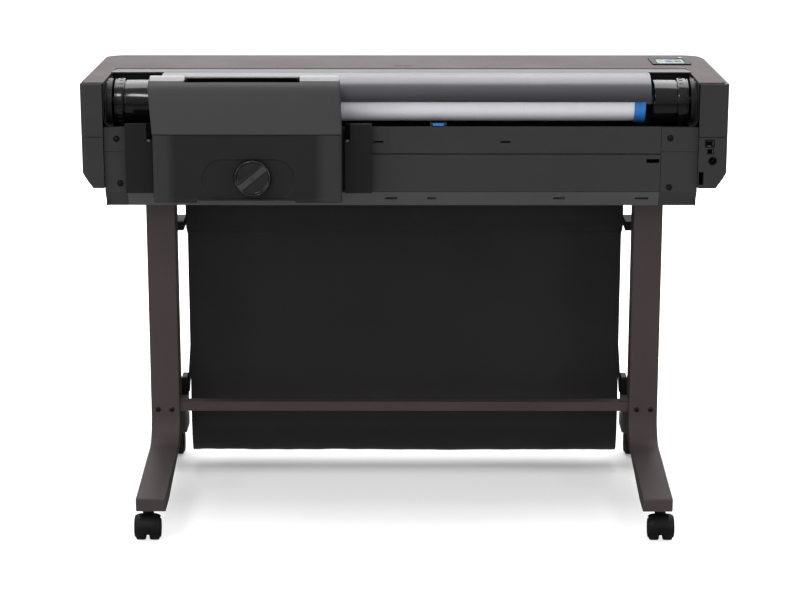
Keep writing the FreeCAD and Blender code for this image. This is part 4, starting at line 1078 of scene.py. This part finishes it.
# turned outlines as (along +Y, radius)
KNOB_HOLE = [
    (0, 0), (0, 0.0018), (-0.0002, 0.0024), (-0.0006, 0.0028), (0.0006, 0.0030),
    (0.0016, 0.0028), (0.0016, 0),
]
KNOB_SHAFT = [(0, 0), (0, 0.0060), (0.014, 0.0060), (0.0150, 0.0052), (0.0150, 0)]
KNOB_COLLAR = [
    (0, 0.0370), (0, 0.0386), (-0.0010, 0.0392), (-0.0010, 0.0400), (0.0002, 0.0408),
    (0.0010, 0.0408), (0.0010, 0.0370),
]


def from_bar(x, z):
    """Signed distance from the bar's middle line."""
    return -x * math.sin(KNOB_TILT) + z * math.cos(KNOB_TILT)


def knob_relief(x, z, r):
    """Depth of the face at a point: scoops on both sides of the bar, grooves, rounded edge."""
    a = x * math.cos(KNOB_TILT) + z * math.sin(KNOB_TILT)
    b = abs(from_bar(x, z))
    rim = clamp((KNOB_R - KNOB_RIM - r) / 0.0030)
    flank = clamp((b - 0.0058) / 0.0016)
    dish = math.sqrt(max(0.0, 1 - ((b - 0.019) / 0.020) ** 2 - (a / 0.040) ** 2))
    scoop = 0.0075 * flank * rim * (0.45 + 0.55 * dish)
    crown = 0.0012 * (1 - (r / KNOB_R) ** 2)
    groove = 0.0005 * hump(b, 0.0050, 0.00035) if abs(a) < 0.031 else 0
    edge = 0.0016 * max(0.0, (r - KNOB_R + 0.0016) / 0.0016) ** 2
    return -0.0030 - crown + scoop + groove + edge


def build_knob():
    """Knob with two scooped lobes beside a bar."""
    verts, faces, rings = [], [], []
    angles = [TAU * i / KNOB_SEGS for i in range(KNOB_SEGS)]
    for j in range(KNOB_RINGS + 1):
        r = KNOB_R * (j / KNOB_RINGS) ** 0.9
        rings.append(range(len(verts), len(verts) + KNOB_SEGS))
        for t in angles:
            x, z = r * math.cos(t), r * math.sin(t)
            verts.append((KNOB_X + x, KNOB_Y + knob_relief(x, z, r), KNOB_Z + z))
    for depth, side_r in KNOB_SIDE:
        rings.append(range(len(verts), len(verts) + KNOB_SEGS))
        for t in angles:
            flute = 1 - 0.006 * (0.5 + 0.5 * math.cos(t * 36)) if depth > 0.001 else 1
            r = side_r * flute
            verts.append((KNOB_X + r * math.cos(t), KNOB_Y + depth, KNOB_Z + r * math.sin(t)))
    rings.append([len(verts)])
    verts.append((KNOB_X, KNOB_Y + KNOB_SIDE[-1][0], KNOB_Z))
    for a, b in zip(rings, rings[1:]):
        faces += bridge(a, b)
    return make("knob_face", verts, faces, ("knob", "feeder_knob", "black_gloss"), angle=45)


def on_bar(c):
    x, z = c.x - KNOB_X, c.z - KNOB_Z
    inside = math.hypot(x, z) < KNOB_R - KNOB_RIM
    return c.y < KNOB_Y and abs(from_bar(x, z)) < 0.0060 and inside


knob = build_knob()
paint(knob, "knob_bar", on_bar)
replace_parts(knob, "feeder_knob")
for turned_name, turned_profile, turned_y, turned_finish, turned_segs in (
    ("knob_screw_hole", KNOB_HOLE, KNOB_Y - 0.0041, ("hole", "feeder_knob", "black_gloss"), 32),
    ("knob_shaft", KNOB_SHAFT, -0.231, ("black", "feeder_knob", "black_gloss"), 48),
    ("knob_ring", KNOB_COLLAR, -0.2292, ("feeder", "machine", "feeder_dark"), 120),
):
    lathe(turned_name, turned_profile, (KNOB_X, turned_y, KNOB_Z), (0, 1, 0), turned_finish,
          segs=turned_segs)

# ---------------------------------------------------------------- screws
SCREW_SEGS = 36
STAND_BOLT_X, STAND_BOLT_Y, STAND_BOLT_Z = (0.508, 0.538), 0.0400, 0.181
PANEL_Y = -0.164
PANEL_SCREWS = ((0.5416, 0.823), (0.5416, 0.721), (-0.5865, 0.821), (-0.581, 0.729))  # (x, z)
WELL_PROFILE = [
    (0, 0.0040), (0, 0.0062), (-0.0004, 0.0066), (-0.0004, 0.0072), (0.0003, 0.0076),
    (0.0006, 0.0074), (0.0006, 0.0040),
]  # (along +Y, radius)


def screw_head(centre, r, h):
    """Button head towards -Y, of radius r and height h, with a six sided socket."""
    axis, across, up = frame_of((0, -1, 0))
    centre = Vector(centre)
    verts, rings = [], []

    def hexagon(t):
        from_flat = (t + math.pi / 6) % (math.pi / 3) - math.pi / 6
        return 0.40 * r * math.cos(math.pi / 6) / math.cos(from_flat)

    for height, share in ((0, 1), (0.25, 1), (0.62, 0.90), (0.90, 0.68), (1, 0.50)):
        rings.append(add_ring(verts, centre + axis * (height * h), across, up, SCREW_SEGS,
                              lambda t: r * share))
    for height, share in ((1, 1.0), (0.25, 1.0), (0.25, 0.02)):
        rings.append(add_ring(verts, centre + axis * (height * h), across, up, SCREW_SEGS,
                              lambda t: hexagon(t) * share))
    sides, base, socket_floor = capped_tube(rings)
    faces = sides + [socket_floor, base]
    return make("s", verts, faces, ("screw", "machine", "screw"), angle=35)


bolts = [screw_head((side * x, STAND_BOLT_Y, STAND_BOLT_Z), r=0.0055, h=0.0026)
         for side in (-1, 1) for x in STAND_BOLT_X]
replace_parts(join(bolts, "stand_bolt_heads"), "stand_bolts")
screws = [screw_head((x, PANEL_Y, z), r=0.0034, h=0.0020) for x, z in PANEL_SCREWS]
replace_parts(join(screws, "panel_screw_heads"), "panel_screws")
wells = [lathe("r", WELL_PROFILE, (x, PANEL_Y, z), (0, 1, 0), ("panel", "machine", "dark_body"),
               segs=40) for x, z in PANEL_SCREWS]
join(wells, "screw_wells")

# ---------------------------------------------------------------- sheet feeder body
FEED_X0, FEED_X1 = -0.507, -0.1265
FEED_Z0, FEED_Z1 = 0.703, 0.842
FEED_FACE_Y, FEED_BACK_Y = -0.236, -0.1721  # the face looks to -Y
SIDE_ROUND, BOTTOM_ROUND = 0.009, 0.005
RECESS_X = (-0.476, -0.458, -0.182, -0.164)  # the shallow recess eases in and out
BOWL_X, BOWL_Z, BOWL_R = (-0.3675, -0.2625), 0.750, 0.0422  # long hollow round the knob


def feeder_face(x, z):
    """Y of the feeder's face."""
    recess = 0.0040 * ease(*RECESS_X[:2], x) * (1 - ease(*RECESS_X[2:], x))
    recess *= ease(0.7075, 0.7135, z)
    nearest_x = min(max(x, BOWL_X[0]), BOWL_X[1])
    inside = BOWL_R - math.hypot(x - nearest_x, z - BOWL_Z)
    bowl = 0.0029 * ease(-0.0004, 0.0030, inside)
    lip = -0.0005 * hump(inside, -0.0016, 0.0011)
    y = FEED_FACE_Y + recess + bowl + lip
    y += round_off(min(x - FEED_X0, FEED_X1 - x), SIDE_ROUND)
    return y + round_off(z - FEED_Z0, BOTTOM_ROUND)


def build_feeder_body():
    """The face as a fine grid, closed by flat sides and back."""
    steps = (0, 0.0006, 0.002, 0.005, SIDE_ROUND)
    xs = spread([FEED_X0 + d for d in steps]
                + [-0.476, -0.458, -0.412, -0.405, -0.225, -0.217, -0.182, -0.164]
                + [FEED_X1 - d for d in reversed(steps)], 0.0016)
    zs = spread([FEED_Z0 + d for d in (0, 0.0005, 0.0015, 0.003, BOTTOM_ROUND)]
                + [0.7135, 0.795, FEED_Z1], 0.0014)
    verts, faces, grid, back = [], [], [], []
    for x in xs:
        # the bottom edge is notched upward in the middle
        notch = 0.0042 * ease(-0.420, -0.418, x) * (1 - ease(-0.221, -0.219, x))
        row = []
        for z in zs:
            row.append(len(verts))
            lift = notch * (1 - ease(FEED_Z0, FEED_Z0 + 0.012, z))
            verts.append((x, feeder_face(x, z), z + lift))
        grid.append(row)
    for x, row in zip(xs, grid):
        back.append((len(verts), len(verts) + 1))
        for j in (0, -1):
            verts.append((x, FEED_BACK_Y, verts[row[j]][2]))
    for i in range(len(xs) - 1):
        a, b = grid[i], grid[i + 1]
        for j in range(len(zs) - 1):
            faces.append((a[j], b[j], b[j + 1], a[j + 1]))
        faces.append((a[0], back[i][0], back[i + 1][0], b[0]))
        faces.append((a[-1], b[-1], back[i + 1][1], back[i][1]))
        faces.append((back[i][0], back[i][1], back[i + 1][1], back[i + 1][0]))
    for i in (0, len(xs) - 1):
        faces.append(tuple(grid[i]) + (back[i][1], back[i][0]))
    return make("feeder_shell", verts, faces, ("feeder", "machine", "feeder_dark"), angle=60)


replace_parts(build_feeder_body(), "feeder_body")

# ---------------------------------------------------------------- sheet feeder lid
LID = ("lid", "feeder_lid", "feeder_dark")
LID_SHADE_PLATE = ("hole", "feeder_lid", "feeder_dark")
LID_GLOSS = ("gloss", "feeder_lid", "feeder_dark")
LID_ROUND = 0.0055
NOTCH_LEFT, NOTCH_RIGHT = -0.4440, -0.2120  # lowered stretch of the top edge
NOTCH_DROP = 0.0062
SIDE_TOP_Z = 0.9385
# (y, z) up the lid's outer face and over its top
LID_PROFILE = [
    (-0.2370, 0.8440), (-0.2345, 0.8520), (-0.2300, 0.8670), (-0.2250, 0.8840),
    (-0.2195, 0.9010), (-0.2140, 0.9165), (-0.2085, 0.9270), (-0.2010, 0.9348),
    (-0.1900, 0.9398), (-0.1780, 0.9425), (-0.1700, 0.9438), (-0.1640, 0.9438),
    (-0.1628, 0.9428),
]
# x of the left and right edge at z = 0.835, and how far it leans to -X over 0.115 of height
LID_EDGES = ((-0.5062, 0.0123), (-0.1262, 0.0050))
# (y, z) up the finger lips on the top edge
LIP_PATH = [Vector(p) for p in (
    (-0.1800, 0.9418), (-0.1760, 0.9455), (-0.1722, 0.9488), (-0.1695, 0.9505),
    (-0.1668, 0.9508))]

lid_profile = spline(LID_PROFILE, 5)
lid_normals = []
for i in range(len(lid_profile)):
    run = lid_profile[min(i + 1, len(lid_profile) - 1)] - lid_profile[max(i - 1, 0)]
    lid_normals.append(Vector((-run.y, run.x)).normalized())


def lid_edge(edge, z):
    x, lean = LID_EDGES[edge]
    return x - (z - 0.835) / 0.115 * lean


def build_lid_skin():
    """The curved skin of the lid, lowered along the notch."""
    shares = spread([0.0, 0.0008, 0.003, 0.006, 0.012, 0.5, 0.988, 0.994, 0.997, 0.9992, 1.0],
                    0.02)
    notch_xs = [NOTCH_LEFT - 0.0008, NOTCH_LEFT, NOTCH_RIGHT, NOTCH_RIGHT + 0.0008]
    count = len(lid_profile)
    verts, faces, outer, inner = [], [], [], []
    for i, (p, n) in enumerate(zip(lid_profile, lid_normals)):
        left, right = lid_edge(0, p.y), lid_edge(1, p.y)
        fade = ease(0, 0.25, i / count) * (1 - ease(0.7, 0.9, i / count))
        outer_row, inner_row = [], []
        for x in sorted([left + (right - left) * share for share in shares] + notch_xs):
            off = round_off(min(x - left, right - x), LID_ROUND)
            crown = 0.0010 * (1 - ((x - (left + right) / 2) / ((right - left) / 2)) ** 2)
            in_notch = NOTCH_LEFT - 1e-6 < x < NOTCH_RIGHT + 1e-6 and p.x > -0.1855
            drop = NOTCH_DROP if in_notch else 0.0
            q = p - n * (-crown * fade + off)
            outer_row.append(len(verts))
            verts.append((x, q.x, q.y - drop))
            q = p - n * 0.0060
            inner_row.append(len(verts))
            verts.append((min(max(x, left + 0.003), right - 0.003), q.x, q.y - drop))
        outer.append(outer_row)
        inner.append(inner_row)
    columns = len(outer[0])
    for i in range(count - 1):
        a, b, c, d = outer[i], outer[i + 1], inner[i], inner[i + 1]
        for j in range(columns - 1):
            faces.append((a[j], a[j + 1], b[j + 1], b[j]))
            faces.append((c[j], d[j], d[j + 1], c[j + 1]))
    for j in range(columns - 1):
        faces.append((outer[0][j], inner[0][j], inner[0][j + 1], outer[0][j + 1]))
        faces.append((outer[-1][j], outer[-1][j + 1], inner[-1][j + 1], inner[-1][j]))
    for j in (0, columns - 1):
        for i in range(count - 1):
            faces.append((outer[i][j], outer[i + 1][j], inner[i + 1][j], inner[i][j]))
    return make("lid_skin", verts, faces, LID, angle=50)


# faces of the notch, which get deep black as painted shade for the dark gap behind the lid's top
# edge
def in_lid_notch(c):
    return NOTCH_LEFT - 0.0006 < c.x < NOTCH_RIGHT + 0.0006 and c.y > -0.1865 and c.z < 0.9375


def lid_side(name, edge, side):
    """Flat wall under one edge of the skin. side is its X sign."""
    verts, faces, outer, inner = [], [], [], []
    for p, n in zip(lid_profile, lid_normals):
        x = lid_edge(edge, p.y)
        q = p - n * 0.0050
        z = min(q.y, SIDE_TOP_Z)
        inner_y = -0.180 + 0.017 * clamp((z - 0.844) / 0.046)
        for store, shift in ((outer, 0.0), (inner, -side * 0.0026)):
            store.append((len(verts), len(verts) + 1))
            verts.append((x + shift, q.x, q.y))
            verts.append((x + shift, max(inner_y, q.x + 0.0005), z))
    for i in range(len(lid_profile) - 1):
        a, b, c, d = outer[i], outer[i + 1], inner[i], inner[i + 1]
        faces += [(a[0], b[0], b[1], a[1]), (c[0], c[1], d[1], d[0]),
                  (a[1], b[1], d[1], c[1]), (a[0], c[0], d[0], b[0])]
    faces.append((*outer[0], *reversed(inner[0])))
    faces.append((outer[-1][0], inner[-1][0], inner[-1][1], outer[-1][1]))
    make(name, verts, faces, LID)


def lid_lip(name, x0, x1):
    """Pale finger lip on the top edge, a little narrower towards its tip."""
    def surface(u, v):
        p, _ = along(LIP_PATH, v)
        pinch = 0.0016 * max(0.0, v - 0.5) * 2
        return (x0 + pinch + (x1 - x0 - 2 * pinch) * u, p.x, p.y)
    shell(name, surface, 24, 16, 0.0018, ("lip", "feeder_lid", "feeder_dark"))


lid_skin = build_lid_skin()
# painted shade: the notch faces get the deep black material
paint(lid_skin, "hole", in_lid_notch)
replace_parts(lid_skin, "feeder_lid")
lid_side("lid_side_l", edge=0, side=-1)
lid_side("lid_side_r", edge=1, side=1)
lid_lip("lid_lip_left", -0.5145, -0.4450)
lid_lip("lid_lip_right", -0.2110, -0.1325)
# a black plate behind the notch, painted shade for the dark gap between the lid's edge and the roll
# cover
soft_box("lid_gap_shade_plate", (NOTCH_LEFT, -0.1668, 0.9340), (NOTCH_RIGHT, -0.1655, 0.9492), 0.0005,
         LID_SHADE_PLATE)
soft_box("lid_grip", (-0.4425, -0.1745, 0.9455), (-0.2135, -0.1700, 0.9490), 0.0014, LID_GLOSS)
for side_name, x in (("left", -0.4400), ("right", -0.2160)):
    soft_box("lid_grip_post_" + side_name, (x - 0.0015, -0.1740, 0.9340),
             (x + 0.0015, -0.1660, 0.9470), 0.0006, LID_GLOSS)

# ---------------------------------------------------------------- jambs, seal, mount notches
SHADE = ("shade", "machine", "black_matte")
# upright strips between the front cover and the end caps
for side_name, x0, x1 in (("left", -0.6125, -0.6056), ("right", 0.5916, 0.5985)):
    soft_box("jamb_" + side_name, (x0, 0.2842, 0.7960), (x1, 0.2990, 0.9160), 0.0006, SHADE)
# strip along the top of the roll bay's front wall
soft_box("bay_seal", (-0.6050, -0.0396, 0.9240), (0.5910, -0.0380, 0.9345), 0.0005, SHADE)
# black plates in the notches where the mount meets the feeder, painted shade, each with a bright
# spring clip
for side_name, x0, x1 in (("left", -0.5225, -0.5125), ("right", -0.1205, -0.1105)):
    soft_box("mount_notch_shade_" + side_name, (x0, -0.1866, 0.823), (x1, -0.1850, 0.8556), 0.0006,
             ("hole", "machine", "feeder_dark"))
    soft_box("mount_clip_" + side_name, (x0 + 0.0015, -0.1874, 0.8195),
             (x1 - 0.0025, -0.1862, 0.8235), 0.0005, ("steel", "machine", "zinc"))

# ---------------------------------------------------------------- sockets on the right side cap
SOCKET_Y = -0.1680
INLET_X, INLET_Z = 0.628, 0.777
SHIELD = ("lip", "machine", "zinc")
CONTACT = ("steel", "machine", "zinc")
INLET_RING = [
    (0, 0.0078), (-0.0008, 0.0082), (-0.0010, 0.0090), (-0.0004, 0.0098), (0.0006, 0.0098),
    (0.0010, 0.0078),
]  # (along +Y, radius)
INLET_PIN = [(0, 0), (-0.0004, 0.0014), (0, 0.0020), (0.012, 0.0020), (0.012, 0)]


def socket_frame(x0, x1, z0, z1, width):
    """Four bars round a socket."""
    spans = ((x0, x1, z0, z0 + width), (x0, x1, z1 - width, z1),
             (x0, x0 + width, z0 + width, z1 - width), (x1 - width, x1, z0 + width, z1 - width))
    return [soft_box("f", (xa, SOCKET_Y + 0.0006, za), (xb, SOCKET_Y + 0.0080, zb), width * 0.3,
                     SHIELD, segs=2) for xa, xb, za, zb in spans]


upper_frame = socket_frame(0.6125, 0.6295, 0.8058, 0.8202, width=0.0012)
lower_frame = socket_frame(0.6175, 0.6285, 0.7918, 0.8012, width=0.0010)
join(upper_frame + lower_frame, "socket_shields")
contacts = [soft_box("p", (0.6155 + 0.0013 * i, SOCKET_Y + 0.0030, 0.8160),
                     (0.6160 + 0.0013 * i, SOCKET_Y + 0.0100, 0.8185), 0.0002, CONTACT, segs=1)
            for i in range(8)]
join(contacts, "socket_contacts")
soft_box("socket_tongue", (0.6205, SOCKET_Y + 0.0020, 0.7948),
         (0.6255, SOCKET_Y + 0.0110, 0.7985), 0.0006, ("hole", "machine", "black_gloss"))
lathe("inlet_ring", INLET_RING, (INLET_X, SOCKET_Y - 0.0002, INLET_Z), (0, 1, 0),
      ("panel", "machine", "dark_body"), segs=64)
lathe("inlet_pin", INLET_PIN, (INLET_X, SOCKET_Y + 0.0040, INLET_Z), (0, 1, 0), CONTACT, segs=32)


# ---------------------------------------------------------------- floor
def floor_material():
    """Pale floor that glows to white for the camera and looks darker in reflections."""
    g = Graph("StagePale")
    distance = g.add("ShaderNodeVectorMath", operation="LENGTH")
    g.link(g.coord, distance.inputs[0])
    rays = g.add("ShaderNodeLightPath").outputs
    g.set("Base Color", g.mix(rays["Is Glossy Ray"], (0.80,) * 3, (0.22,) * 3))
    g.set("Roughness", 0.95)
    g.set("Specular IOR Level", 0.0)
    g.set("Emission Color", (1, 1, 1))
    # brighter in two steps towards the rear, then with distance from the machine
    y = g.split()[1]
    glow = g.plus(g.remap(y, to=(0.0, 0.24), span=(0.19, 0.13)),
                  g.remap(y, to=(0.0, 0.24), span=(-0.03, -0.24)))
    far = g.remap(distance.outputs["Value"], to=(0.12, 0.95), span=(0.45, 1.5))
    g.set("Emission Strength", g.times(g.plus(glow, far), rays["Is Camera Ray"]))
    return g.mat


def build_floor(half=30, z=-0.0005):
    mesh = bpy.data.meshes.new("StageFloor")
    corners = [(-half, -half, z), (half, -half, z), (half, half, z), (-half, half, z)]
    mesh.from_pydata(corners, [], [(0, 1, 2, 3)])
    floor = bpy.data.objects.new("StageFloor", mesh)
    scene.collection.objects.link(floor)
    mesh.materials.append(floor_material())


# ---------------------------------------------------------------- world, lights, camera
def build_world():
    """Brighter overhead than near the horizon; plain white to the camera."""
    world = bpy.data.worlds.new("Studio")
    world.use_nodes = True
    tree = world.node_tree
    background = tree.nodes["Background"]
    background.inputs[0].default_value = (1, 1, 1, 1)
    coord = tree.nodes.new("ShaderNodeTexCoord")
    direction = tree.nodes.new("ShaderNodeSeparateXYZ")
    tree.links.new(coord.outputs["Generated"], direction.inputs[0])
    height = tree.nodes.new("ShaderNodeMapRange")
    set_range(height, span=(-0.05, 0.85), to=(0.20, 0.45))
    tree.links.new(direction.outputs[2], height.inputs[0])
    rays = tree.nodes.new("ShaderNodeLightPath")
    level = tree.nodes.new("ShaderNodeMix")
    level.data_type = "FLOAT"
    tree.links.new(rays.outputs["Is Camera Ray"], level.inputs[0])
    tree.links.new(height.outputs[0], level.inputs[2])
    level.inputs[3].default_value = 1.0
    tree.links.new(level.outputs[0], background.inputs[1])
    scene.world = world


def area(name, at, aim, size, power):
    """A rectangular light, hidden from the camera."""
    data = bpy.data.lights.new(name, "AREA")
    data.shape = "RECTANGLE"
    data.size, data.size_y = size
    data.energy = power
    light = bpy.data.objects.new(name, data)
    scene.collection.objects.link(light)
    light.location = at
    light.rotation_euler = (Vector(aim) - Vector(at)).to_track_quat("-Z", "Y").to_euler()
    light.visible_camera = False
    return light


def build_camera():
    data = bpy.data.cameras.new("Camera")
    data.sensor_width = 36
    data.lens = 108
    data.clip_end = 100
    camera = bpy.data.objects.new("Camera", data)
    scene.collection.objects.link(camera)
    camera.location = (0, -4.974, 1.744)
    camera.rotation_euler = (math.radians(90 - 14.7), 0, math.radians(0.107))
    scene.camera = camera


build_floor()
build_world()
area("KeyAbove", at=(0.0, 1.55, 3.0), aim=(0, 1.50, 0.0), size=(4.2, 3.5), power=165)
fill_rear = area("FillRear", at=(0.0, -4.8, 2.2), aim=(0, 0, 0.6), size=(4.0, 1.4), power=57)
fill_rear.visible_glossy = False
area("Accent", at=(-1.3, -2.0, 2.7), aim=(-0.2, -0.2, 0.85), size=(0.9, 0.5), power=16)
area("FillFront", at=(0.0, 4.5, 2.2), aim=(0, 0, 0.5), size=(3.5, 1.4), power=35)
area("RimLeft", at=(-3.0, -1.9, 1.5), aim=(-0.5, -0.1, 0.75), size=(0.7, 1.7), power=18)
area("RimRight", at=(3.0, -1.9, 1.5), aim=(0.5, -0.1, 0.75), size=(0.7, 1.7), power=18)
build_camera()
scene.view_settings.view_transform = "Standard"
scene.view_settings.look = "None"
